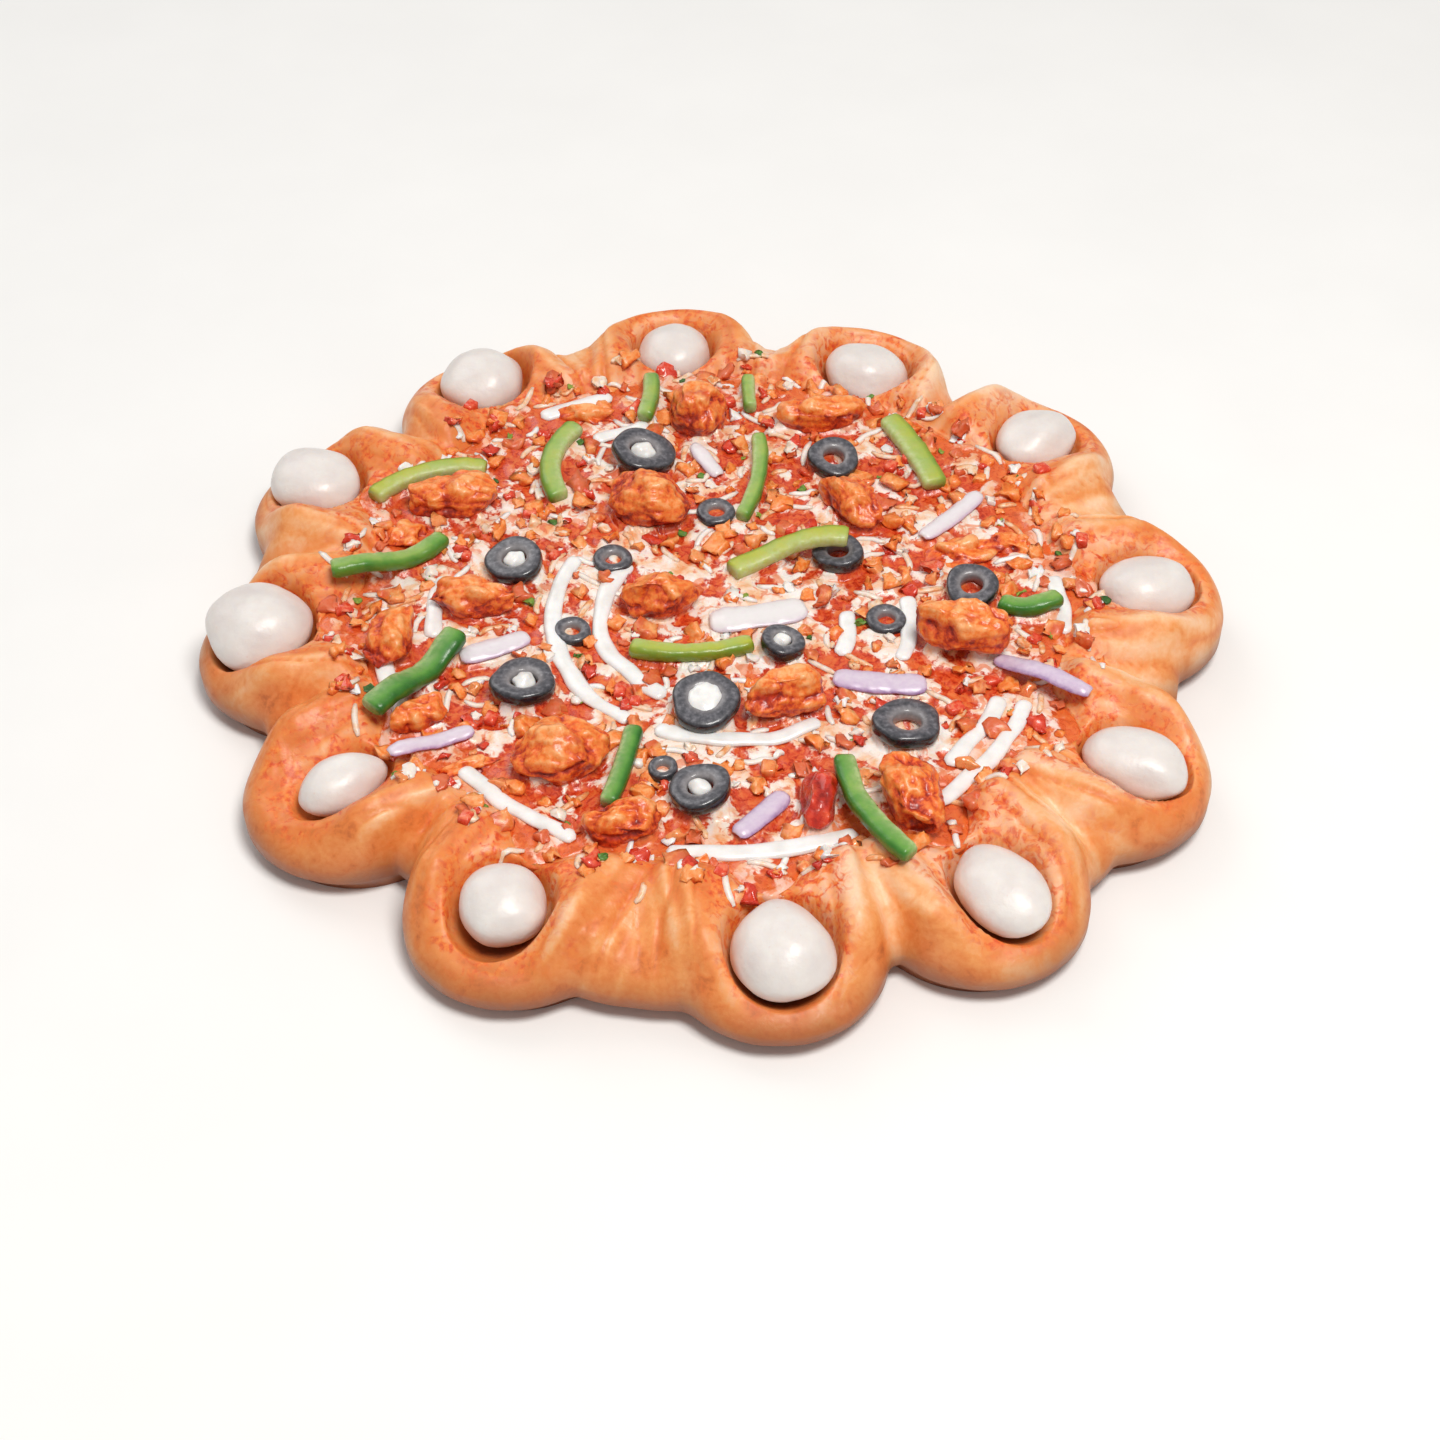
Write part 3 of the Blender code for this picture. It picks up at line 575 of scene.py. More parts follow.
# %% Dough finish
def dough_finish():
    finish, tree, shader = new_finish("dough", roughness=0.5, coat_weight=0.12, coat_roughness=0.35)
    let_light_in(shader, 0.2, (1.0, 0.45, 0.2), 2.5)
    # The values: toasting with painted light and shade, sauce stain, and painted shade towards the foot.
    toast_and_shade, stain, foot = channels(tree, "tint")
    mottle = spots(tree, 6.0, detail=6.0, warp=0.6)
    fine = spots(tree, 1.4, detail=4.0)
    toast_and_shade = calculate(tree, "ADD", toast_and_shade, between(tree, mottle, 0.35, 0.75, -0.1, 0.12))
    toast_and_shade = calculate(tree, "ADD", toast_and_shade, between(tree, fine, 0.35, 0.7, -0.04, 0.05))
    # The last, darkest stop is reached only in the painted shadow at the pocket bottoms.
    base = ramp(
        tree, toast_and_shade, (0.0, 0xF9D2AE), (0.28, 0xF4B985), (0.5, 0xEE9C58), (0.72, 0xE27F3A), (0.86, 0xC2632B),
        (1.0, 0x5A2010)
    )
    # Painted shade: a browner colour towards the foot of the side.
    base = blend(tree, foot, base, ramp(tree, mottle, (0.3, 0x824326), (0.7, 0xA05E39)))
    patches = between(tree, spots(tree, 3.6, detail=5.0, warp=1.0), 0.42, 0.62)
    stained = calculate(tree, "MULTIPLY", stain, between(tree, patches, 0.0, 1.0, 0.3, 1.0))
    sauce = ramp(tree, fine, (0.38, 0xD8481A), (0.5, 0xEA6A24), (0.68, 0xF29242))
    tree.links.new(blend(tree, stained, base, sauce), shader.inputs["Base Color"])
    tree.links.new(between(tree, mottle, 0.3, 0.7, 0.38, 0.6), shader.inputs["Roughness"])
    bump(tree, shader, calculate(tree, "ADD", fine, mottle), 0.35, 0.5)
    return finish


crust = finish_piece(crust_mesh(), "baked_crust", dough_finish(), "dough", "crust")
report(crust)

# %% [markdown]
# Balls of soft cheese
#
# Each pocket holds a ball of soft white cheese that has sagged a little in the oven. A sphere is cut
# finely, pressed to its ball's own radii, dented by slow noise, and drawn in a little towards one end
# where the real one is. Light goes deep into such cheese, and its moist skin has a soft highlight.

# %% Cheese finish
BALL_DENT = 0.1
BALL_PIMPLE = 0.008
BALL_ROUNDS = 5


def cheese_finish():
    finish, tree, shader = new_finish("soft_cheese", coat_weight=0.2, coat_roughness=0.22)
    let_light_in(shader, 0.35, (1.0, 0.8, 0.6), 3.0)
    cloud = spots(tree, 8.0, detail=5.0)
    speck = spots(tree, 1.1, detail=2.0)
    base = ramp(tree, cloud, (0.3, 0xDFD6D2), (0.55, 0xE6DFDA), (0.75, 0xEDE8E3))
    base = blend(tree, between(tree, speck, 0.66, 0.8, 0.0, 0.35), base, colour(0xE0C0B2))
    tree.links.new(base, shader.inputs["Base Color"])
    tree.links.new(between(tree, cloud, 0.3, 0.7, 0.32, 0.46), shader.inputs["Roughness"])
    bump(tree, shader, speck, 0.25, 0.35)
    return finish


# %% Model the balls
def ball_mesh(petal, ball):
    bm = bmesh.new()
    bmesh.ops.create_icosphere(bm, subdivisions=BALL_ROUNDS, radius=1.0)
    for vert in bm.verts:
        place = vert.co * 1.1 + Vector((petal.turn, 0.0, petal.reach))
        dent = BALL_DENT * (noise.noise(place) - 0.5) + BALL_PIMPLE * noise.noise(place * 6.0)
        vert.co *= 1.0 + dent
        inward = max(-vert.co.x, 0.0)
        vert.co.y *= 1.0 - ball.taper * inward * inward
        vert.co.z *= 1.0 - 0.5 * ball.taper * inward * inward
    middle = Matrix.Translation((ball.out, ball.aside, ball.height))
    radii = Matrix.Diagonal((ball.along, ball.across, ball.tall, 1.0))
    bm.transform(Matrix.Rotation(math.radians(petal.turn), 4, "Z") @ middle @ radii)
    return bm


white_cheese = cheese_finish()
for count, (petal, ball) in enumerate(zip(PETALS, BALLS), start=1):
    name = f"soft_{count:02d}"
    piece = finish_piece(ball_mesh(petal, ball), name, white_cheese, "cheese", f"cheese_ball_{count:02d}")
report(piece)

# %% [markdown]
# What lies on the bed
#
# Before the bed is made, the toppings' solids are gathered, because melted cheese climbs a little up
# whatever lies in it. Rays sent up from the bed find each topping's underside.

# %% Undersides of the toppings
TOPPINGS = ("chicken", "tomato", "olive", "pepper", "onion")
UP = Vector((0.0, 0.0, 1.0))
DOWN = Vector((0.0, 0.0, -1.0))
SKY = 100.0


def solid_mesh(*names):
    """A copy of some solids in millimetres, with their loose triangles joined."""
    bm = bmesh.new()
    for name in names:
        bm.from_mesh(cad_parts[name].data)
    bm.transform(Matrix.Scale(1.0 / MM, 4))
    bmesh.ops.remove_doubles(bm, verts=bm.verts[:], dist=0.001)
    return bm


def surface(bm):
    """A mesh's surface, for rays to hit."""
    bm.normal_update()
    return BVHTree.FromBMesh(bm)


topping_names = [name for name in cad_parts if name.split("_")[0] in TOPPINGS]
toppings_surface = surface(solid_mesh(*topping_names))
print("toppings over the bed:", len(topping_names))


def gap_over(x, y, height):
    """The gap between the bed and a topping over it, or a large number."""
    hit = toppings_surface.ray_cast(Vector((x, y, height - 2.0)), UP, 8.0)[0]
    return hit.z - height if hit else SKY


# %% [markdown]
# The bed of sauce and melted cheese
#
# The bed is a mottle: cheese that has melted into smooth pale islands, and red sauce in the hollows
# between them. One noise shapes the islands and also tells the finish where cheese lies and where sauce
# does. The mesh is a sheet wrapped round the middle like the crust's, and its inner rings close there.

# %% Model the bed
BED_TOP = 19.6
BED_WAVE = 0.5
BED_WAVE_SIZE = 24.0
BED_EDGE_DROP = 1.5
BED_OVERLAP = 0.4
BED_SPOKES = 700
BED_RINGS = 134
ISLAND_SIZE = 7.0
ISLAND_HEIGHT = 0.9
STRAND_SIZE = 2.8
STRAND_HEIGHT = 0.45
CLIMB_REACH = 3.0
CLIMB_GAP = 0.25
CLIMB_ROUNDS = 3
CLIMB_INNER = BED_REACH - 2.0
# Where most cheese lies: x, y, reach and how much more
PALE_PATCHES = (
    (8, -8, 34, 0.36), (15, -3, 20, 0.75), (-30, 5, 26, 0.34), (-8, -60, 26, 0.45), (45, -58, 20, 0.36),
    (0, 64, 14, 0.3),
)


def island(x, y):
    """How much cheese lies at a place, from 0 to 1."""
    wide = grain(x, y, 11.0, ISLAND_SIZE)
    narrow = grain(x, y, 31.0, STRAND_SIZE)
    reach = math.hypot(x, y)
    edge = smooth_step(78.0, 96.0, reach)
    pale = max(more * nearness(x, y, *patch, 0.2) for *patch, more in PALE_PATCHES)
    return smooth_step(-0.28, 0.3, wide + 0.55 * narrow - 0.06 + pale - 0.15 * edge)


def bed_level(x, y):
    """Height of the bed as if it were smooth."""
    return BED_TOP + BED_WAVE * noise.noise(Vector((x, y, 0.0)) / BED_WAVE_SIZE)


def bed_height(x, y):
    relief = ISLAND_HEIGHT * (island(x, y) - 0.6) + STRAND_HEIGHT * grain(x, y, 60.0, STRAND_SIZE)
    return bed_level(x, y) + relief


def bed_mesh():
    bm = sheet_to_wrap(BED_SPOKES, BED_RINGS + 2)
    values = []
    reaches = {}
    for vert in bm.verts:
        turn, ring = vert.co.x, round(vert.co.y)
        if turn not in reaches:
            reaches[turn] = bed_reach(turn)
        edge = reaches[turn]
        share = min(1.0, 1.0 - (ring - 2) / (BED_RINGS - 1))
        reach = (edge + BED_OVERLAP) * share if ring > 0 else edge
        x, y = reach * math.cos(turn), reach * math.sin(turn)
        if ring == 0:
            height = FLOOR_HEIGHT + BED_OVERLAP
        elif ring == 1:
            height = BED_TOP - BED_EDGE_DROP - 0.6
        else:
            height = bed_height(x, y)
            height -= BED_EDGE_DROP * 0.6 * smooth_step(edge - 2.0, edge + BED_OVERLAP, reach)
            gap = gap_over(x, y, height)
            height += gap + CLIMB_GAP if -1.0 < gap < CLIMB_REACH else 0.0
        vert.co = (x, y, height)
        outer = smooth_step(edge - 14.0, edge - 1.0, reach)
        values.append((island(x, y), outer, 0.0))
    write_points(bm, "tint", values)
    close_wrapped(bm)
    inner = [vert for vert in bm.verts if vert.co.to_2d().length < CLIMB_INNER]
    top = [vert for vert in inner if vert.co.z > BED_TOP - 1.0]
    for _ in range(CLIMB_ROUNDS):
        bmesh.ops.smooth_vert(bm, verts=top, factor=0.35, use_axis_z=True)
    return bm


def bed_finish():
    finish, tree, shader = new_finish("sauce_and_melt", coat_weight=0.35, coat_roughness=0.18)
    let_light_in(shader, 0.15, (1.0, 0.4, 0.2), 1.5)
    cheese, edge, _ = channels(tree, "tint")
    fine = spots(tree, 1.6, detail=5.0, warp=0.8)
    mottle = spots(tree, 6.0, detail=4.0, warp=0.5)
    cheese = calculate(tree, "ADD", cheese, between(tree, fine, 0.3, 0.7, -0.3, 0.3))
    melt = ramp(tree, mottle, (0.3, 0xEC9A60), (0.4, 0xF1C29C), (0.5, 0xF3DDCC), (0.64, 0xF6F0EA))
    sauce = ramp(tree, fine, (0.3, 0xA9260F), (0.48, 0xD2441C), (0.7, 0xE87436))
    base = blend(tree, between(tree, cheese, 0.3, 0.75), sauce, melt)
    oily = between(tree, spots(tree, 4.0, detail=3.0, warp=1.0), 0.54, 0.62, 0.0, 0.7)
    base = blend(tree, oily, base, ramp(tree, mottle, (0.35, 0xD9531F), (0.65, 0xEE8A48)))
    base = blend(tree, calculate(tree, "MULTIPLY", edge, 0.5), base, colour(0xE97A36))
    tree.links.new(base, shader.inputs["Base Color"])
    tree.links.new(between(tree, fine, 0.3, 0.7, 0.22, 0.42), shader.inputs["Roughness"])
    bump(tree, shader, fine, 0.4, 0.5)
    return finish


bed_shape = bed_mesh()
bed_surface = surface(bed_shape)
bed = finish_piece(bed_shape, "melted_bed", bed_finish(), "bed", "sauce_and_cheese")
report(bed)


def on_bed(x, y):
    """Height of the melted bed at a place, or its plain height past its edge."""
    hit = bed_surface.ray_cast(Vector((x, y, SKY)), DOWN)[0]
    return hit.z if hit else BED_TOP


# %% [markdown]
# Arcs of cream and strips of vegetable
#
# Cream from a bottle and strips cut from round vegetables have one thing in common: each is a section
# carried along an arc. So one helper draws a section, spins it round the arc's middle, and gives back
# its rings in order, which can then be wobbled, tapered and laid on what is under them.

# %% Helper for arcs
def oval_section(width, thickness, corners, squareness=1.0):
    """A closed section: an oval, or with less than 1 for squareness a rounded box."""
    points = []
    for corner in range(corners):
        angle = 2.0 * math.pi * (corner + 0.5) / corners
        across, up = math.cos(angle), math.sin(angle)
        across = math.copysign(abs(across) ** squareness, across)
        up = math.copysign(abs(up) ** squareness, up)
        points.append((across * width / 2, up * thickness / 2))
    return points


def arc_rings(bm, length, bend, section, steps):
    """Spins a section along an arc whose chord is along +X, and gives its rings of points in order."""
    sweep = math.radians(bend)
    centre = Vector((0.0, length / sweep, 0.0))
    start = len(bm.verts)
    corners = [bm.verts.new((0.0, across, up)) for across, up in section]
    face = bm.faces.new(corners)
    bmesh.ops.rotate(bm, verts=corners, cent=centre, matrix=Matrix.Rotation(-sweep / 2, 3, "Z"))
    bmesh.ops.spin(bm, geom=[face], axis=(0.0, 0.0, 1.0), cent=centre, angle=sweep, steps=steps)
    made = list(bm.verts)[start:]
    count = len(section)
    return [made[place : place + count] for place in range(0, len(made), count)]


def middle_of(ring):
    return sum((vert.co for vert in ring), Vector()) / len(ring)


def evened(values, span):
    """Values along an arc, each the mean of those within so many places of it."""
    spans = [values[max(place - span, 0) : place + span + 1] for place in range(len(values))]
    return [sum(near) / len(near) for near in spans]


def swell(ring, share):
    """Makes one ring of an arc wider or narrower about its middle."""
    middle = middle_of(ring)
    for vert in ring:
        vert.co = middle + (vert.co - middle) * share


def put(verts, bm, x, y, turn, height=0.0):
    place = Matrix.Translation((x, y, height)) @ Matrix.Rotation(math.radians(turn), 4, "Z")
    bmesh.ops.transform(bm, matrix=place, verts=verts)


# %% [markdown]
# The drizzle of cream
#
# Cream was squeezed over the pizza in rings round a point near the middle, and the toppings that were
# laid afterwards break the rings into runs. A run is a low round bank that swells and thins a little
# and ends in a soft tip. It is glossy and nearly white.

# %% Cream finish
def cream_finish():
    finish, tree, shader = new_finish("cream", roughness=0.28, coat_weight=0.3, coat_roughness=0.1)
    let_light_in(shader, 0.3, (1.0, 0.8, 0.6), 1.5)
    cloud = spots(tree, 5.0, detail=4.0)
    base = ramp(tree, cloud, (0.3, 0xE6E3DF), (0.6, 0xF4F3F1))
    tree.links.new(base, shader.inputs["Base Color"])
    bump(tree, shader, cloud, 0.2, 0.4)
    return finish


# %% Model the cream
CREAM_CENTRE = (3.0, -6.0)
# The ring's radius and the turns between which each run shows
CREAM_ARCS = (
    (33, 140, 243),
    (33, 335, 365),
    (45.5, 150, 238),
    (45.5, 247, 302),
    (49, 340, 369),
    (77, 168, 186),
    (90, 178, 204),
    (86, 220, 245),
    (83, 260, 293),
    (77, 316, 337),
    (84, 306, 338),
    (90, 356, 370),
    (82, 105, 117),
    (99, 109, 122),
)
CREAM_WIDTH = 3.6
CREAM_SPREAD = 1.3
CREAM_THICKNESS = 2.1
CREAM_CORNERS = 14
CREAM_STEP = 0.8
CREAM_LIFT = 0.35
CREAM_TIP = 2.2
CREAM_WANDER = 0.9
CREAM_EVENED = 4


def tip_share(distance, tip):
    """How wide a run is at a distance from its end, as a round tip."""
    left = min(distance / tip, 1.0)
    return math.sqrt(max(1.0 - (1.0 - left) ** 2, 0.0)) * 0.97 + 0.03


def cream_place(radius, start, end):
    """A run of cream as an arc: x, y of its middle, turn of its chord, length and bend."""
    middle = math.radians((start + end) / 2)
    x = CREAM_CENTRE[0] + radius * math.cos(middle)
    y = CREAM_CENTRE[1] + radius * math.sin(middle)
    return x, y, math.degrees(middle) + 90.0, radius * math.radians(end - start), end - start


def cream_mesh():
    bm = bmesh.new()
    section = oval_section(CREAM_WIDTH * CREAM_SPREAD, CREAM_THICKNESS, CREAM_CORNERS)
    for arc in CREAM_ARCS:
        x, y, turn, length, bend = cream_place(*arc)
        steps = round(length / CREAM_STEP)
        rings = arc_rings(bm, length, bend, section, steps)
        put([vert for ring in rings for vert in ring], bm, x, y, turn)
        lifts = evened([on_bed(*middle_of(ring).xy) + CREAM_LIFT for ring in rings], CREAM_EVENED)
        for place, (ring, lift) in enumerate(zip(rings, lifts)):
            spot = middle_of(ring)
            along = length * place / steps
            wobble = 1.0 + 0.25 * grain(spot.x, spot.y, 5.0, 9.0)
            swell(ring, wobble * tip_share(min(along, length - along), CREAM_TIP))
            aside = Vector((spot.x - CREAM_CENTRE[0], spot.y - CREAM_CENTRE[1], 0.0)).normalized()
            shift = aside * CREAM_WANDER * grain(spot.x, spot.y, 14.0, 9.0) + UP * lift
            for vert in ring:
                vert.co += shift
    bmesh.ops.recalc_face_normals(bm, faces=bm.faces[:])
    return bm


cream = cream_finish()
report(finish_piece(cream_mesh(), "cream_drizzle", cream, "bed", "sauce_and_cheese"))

# %% [markdown]
# Black olives
#
# An olive slice is a thick ring: shiny dark skin round the outside, and matt charcoal flesh on the cut
# faces with a paler edge round the hole. Its section is spun round the hole, and a subdivision surface
# rounds the rims. The points keep how near they are to the skin and to the hole, for the colour. Cheese
# has melted up into some of the holes.

# %% Olive finish
def olive_finish():
    finish, tree, shader = new_finish("black_olive", coat_weight=0.5, coat_roughness=0.12)
    skin, rim, _ = channels(tree, "tint")
    fibre = spots(tree, 1.3, detail=4.0)
    flesh = ramp(tree, fibre, (0.3, 0x3A3A40), (0.5, 0x57565C), (0.7, 0x7E7C82))
    flesh = blend(tree, between(tree, rim, 0.3, 0.9, 0.0, 0.6), flesh, colour(0xA09A9A))
    base = blend(tree, skin, flesh, ramp(tree, fibre, (0.3, 0x0D0E11), (0.7, 0x23262C)))
    tree.links.new(base, shader.inputs["Base Color"])
    tree.links.new(between(tree, skin, 0.0, 1.0, 0.42, 0.2), shader.inputs["Roughness"])
    bump(tree, shader, fibre, 0.3, 0.3)
    return finish


# %% Model the olives
# x, y, diameter, lean in degrees, turn of the lean
OLIVES = (
    (-53.5, 12.5, 16, 8, 200),
    (-48.5, -34, 17.5, 8, 90),
    (-2, -42, 18, 8, 260),
    (-3.2, -71.5, 16, 10, 150),
    (49, -49, 18, 9, 70),
    (18, -19, 12, 10, 20),
    (69, 2, 15, 9, 250),
    (34, 55, 15, 10, 300),
    (-19.7, 57.5, 18, 12, 0),
    (33.8, 16, 14, 6, 180),
)
SMALL_OLIVES = ((-27, 16, 11), (-37, -12, 10), (46, -7, 11), (-12.5, -62.3, 8), (1, 36, 11))
SMALL_OLIVE_LIFT = 0.1
OLIVE_HOLE = 0.4
OLIVE_THICKNESS = 4.2
OLIVE_STEPS = 28
# The section's corners: how far from the hole to the skin, and how far up, each from 0 to 1
OLIVE_SECTION = (
    (0.0, -0.6), (0.12, -0.98), (0.86, -1.0), (1.0, -0.55), (1.0, 0.55), (0.86, 1.0), (0.12, 0.9), (0.0, 0.5)
)


def olive_ring(bm, values, diameter):
    """Adds one olive slice at the middle and gives its points."""
    start = len(bm.verts)
    outer, half = diameter / 2, OLIVE_THICKNESS / 2
    hole = outer * OLIVE_HOLE
    corners = [bm.verts.new((mix(hole, outer, out), 0.0, up * half)) for out, up in OLIVE_SECTION]
    edges = [bm.edges.new(pair) for pair in zip(corners, corners[1:] + corners[:1])]
    around = {"axis": (0.0, 0.0, 1.0), "cent": (0.0, 0.0, 0.0), "angle": 2.0 * math.pi}
    bmesh.ops.spin(bm, geom=corners + edges, steps=OLIVE_STEPS, use_merge=True, **around)
    made = list(bm.verts)[start:]
    for vert in made:
        out = (vert.co.to_2d().length - hole) / (outer - hole)
        uneven = 1.0 + 0.14 * noise.noise(Vector((vert.co.x, vert.co.y, diameter * 3.1)) / 6.0)
        skin = smooth_step(0.82, 0.98, out)
        values.append((skin, 1.0 - smooth_step(0.0, 0.3, out), 0.0))
        vert.co.x *= uneven
        vert.co.y *= uneven
    return made


def soften(piece, levels):
    rounder = piece.modifiers.new("rounder", "SUBSURF")
    rounder.levels = levels
    rounder.render_levels = levels


def box_middle(name):
    low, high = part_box(name)
    return (low + high) / 2 / MM


black_olive = olive_finish()
for count, (x, y, diameter, lean, lean_turn) in enumerate(OLIVES, start=1):
    solid = f"olive_{count:02d}"
    bm, values = bmesh.new(), []
    ring = olive_ring(bm, values, diameter)
    bm.transform(Matrix.Rotation(math.radians(lean), 4, "Y"))
    put(ring, bm, x, y, lean_turn, box_middle(solid).z)
    write_points(bm, "tint", values)
    bmesh.ops.recalc_face_normals(bm, faces=bm.faces[:])
    piece = finish_piece(bm, f"slice_{count:02d}", black_olive, "olive", solid)
    soften(piece, 2)
print("olive slices:", len(OLIVES))

# Melted cheese that has risen in the hole of a slice: which slice, and how wide
CHEESE_PLUGS = ((1, 6.0), (2, 6.5), (3, 11.5), (4, 6.0), (6, 5.0), (9, 7.0))
PLUG_LIFT = 0.3
PLUG_HEIGHT = 4.6
bm = bmesh.new()
for count, width in CHEESE_PLUGS:
    x, y, _, lean, lean_turn = OLIVES[count - 1]
    size = Matrix.Diagonal((width, width * 0.85, PLUG_HEIGHT, 1.0))
    leant = Matrix.Rotation(math.radians(lean_turn), 4, "Z") @ Matrix.Rotation(math.radians(lean), 4, "Y")
    place = Matrix.Translation((x, y, box_middle(f"olive_{count:02d}").z + PLUG_LIFT))
    bmesh.ops.create_icosphere(bm, subdivisions=4, radius=0.5, matrix=place @ leant @ size)
bm.normal_update()
for vert in bm.verts:
    vert.co += vert.normal * 0.6 * grain(*vert.co, 2.4)
finish_piece(bm, "cheese_in_holes", cream, "bed", "sauce_and_cheese")

bm, values = bmesh.new(), []
for x, y, diameter in SMALL_OLIVES:
    put(olive_ring(bm, values, diameter), bm, x, y, 0.0, on_bed(x, y) + SMALL_OLIVE_LIFT)
write_points(bm, "tint", values)
bmesh.ops.recalc_face_normals(bm, faces=bm.faces[:])
small_olives = finish_piece(bm, "small_olives", black_olive, "olive", "sauce_and_cheese")
soften(small_olives, 1)

# %% [markdown]
# Strips of green pepper and onion
#
# A pepper strip is cut across a round pepper: glossy green skin on its outer side, pale juicy flesh on
# the rest. An onion strip is a thin arched layer, nearly clear, with lilac along its edges. Both follow
# the heights of their solids, which already lie on whatever is under them.

# %% Vegetable finishes
def pepper_finish():
    finish, tree, shader = new_finish("green_pepper", coat_weight=0.15, coat_roughness=0.2)
    let_light_in(shader, 0.2, (0.4, 1.0, 0.15), 1.5)
    skin, tone, light = channels(tree, "tint")
    fibre = spots(tree, 1.5, detail=4.0)
    cloud = spots(tree, 7.0, detail=3.0)
    tone = calculate(tree, "ADD", tone, between(tree, cloud, 0.3, 0.7, -0.15, 0.15))
    flesh = ramp(tree, tone, (0.0, 0xB5B93C), (0.4, 0x98B458), (0.75, 0x659D3C), (1.0, 0x4A8A33))
    rind = ramp(tree, tone, (0.0, 0x8C9A28), (0.4, 0x64902F), (0.75, 0x387825), (1.0, 0x24611C))
    base = blend(tree, skin, flesh, rind)
    watery = calculate(tree, "MULTIPLY", light, between(tree, fibre, 0.3, 0.7, 0.3, 0.8))
    base = blend(tree, watery, base, colour(0xC6CF98))
    tree.links.new(base, shader.inputs["Base Color"])
    tree.links.new(between(tree, skin, 0.0, 1.0, 0.45, 0.3), shader.inputs["Roughness"])
    bump(tree, shader, fibre, 0.4, 0.4)
    return finish


def onion_finish():
    finish, tree, shader = new_finish("onion", coat_weight=0.2, coat_roughness=0.2)
    let_light_in(shader, 0.4, (1.0, 0.85, 1.0), 1.5)
    edge, lilac, vein = channels(tree, "tint")
    fibre = spots(tree, 1.6, detail=4.0)
    tint = calculate(tree, "ADD", lilac, calculate(tree, "MULTIPLY", edge, 0.45))
    tint = calculate(tree, "MULTIPLY", tint, between(tree, fibre, 0.3, 0.7, 0.75, 1.0))
    base = ramp(tree, tint, (0.0, 0xE8E2E0), (0.35, 0xDACBD8), (0.7, 0xC2A5C8), (1.0, 0x9C76AC))
    base = blend(tree, calculate(tree, "MULTIPLY", vein, 0.35), base, colour(0xF2EDF0))
    tree.links.new(base, shader.inputs["Base Color"])
    shader.inputs["Roughness"].default_value = 0.3
    bump(tree, shader, fibre, 0.25, 0.3)
    return finish


# %% Model the strips
# x, y of the middle, turn of the chord, length, bend in degrees and width; then how dark the green is
PEPPERS = (
    ((-80.5, 50.5, 22, 34, -62, 5.5), 0.1),
    ((-86, 11.3, 33, 34, 40, 5.5), 0.6),
    ((-76, -32.5, 56, 35, 8, 7.0), 0.9),
    ((-22.4, -62.5, 77, 26, 8, 5.0), 0.9),
    ((36.8, -81, -67, 38, 40, 5.5), 0.7),
    ((-45.5, 56, -97, 32, 70, 6.0), 0.35),
    ((-18, 84, -94, 21, -20, 5.0), 0.45),
    ((10.3, 86, -88, 14, 6, 4.0), 0.4),
    ((12.7, 48.5, -98, 35, -30, 4.5), 0.45),
    ((57, 60, -68, 31, -12, 7.0), 0.2),
    ((20, 16.5, 14, 33, -46, 6.0), 0.05),
    ((-5.5, -22, 3, 32, 40, 5.0), 0.1),
    ((84, -5, 2, 16, 60, 5.5), 0.65),
)
PEPPER_THICKNESS = 4.0
# The same, then how lilac the onion is
ONIONS = (
    ((43, -32, -6, 24, 14, 7.5), 0.65),
    ((84.5, -32, -37, 28, 10, 5.5), 0.75),
    ((12, -78, 48, 18, 10, 6.0), 0.7),
    ((-71, -54, 29, 23, -10, 5.0), 0.5),
    ((-57, -19, 24, 19, 12, 7.0), 0.2),
    ((12, -7, 12, 26, 16, 9.0), 0.0),
    ((-2, 57, -62, 15, 12, 5.0), 0.1),
    ((66, 33, 48, 25, 12, 5.5), 0.15),
)
ONION_THICKNESS = 1.1
ONION_ARCH = 0.8
STRIP_STEP = 0.9
TOPS_EVENED = 3
PEPPER_CORNERS = 16
ONION_CORNERS = 18
# How wide a strip is at its very end, from 0 to 1, and from how far off it narrows
PEPPER_TIP = (0.82, 2.0)
ONION_TIP = (0.5, 5.0)


def strip_tops(rings, solid):
    """The height of the solid strip's top at each ring, evened out along the strip."""
    tree = surface(solid_mesh(solid))
    tops = []
    for ring in rings:
        spot = middle_of(ring)
        hit = tree.ray_cast(Vector((spot.x, spot.y, SKY)), DOWN)[0]
        tops.append(hit.z if hit else None)
    known = [top for top in tops if top is not None]
    for place, top in enumerate(tops):
        if top is None:
            tops[place] = known[0] if place < len(tops) / 2 else known[-1]
    return evened(tops, TOPS_EVENED)


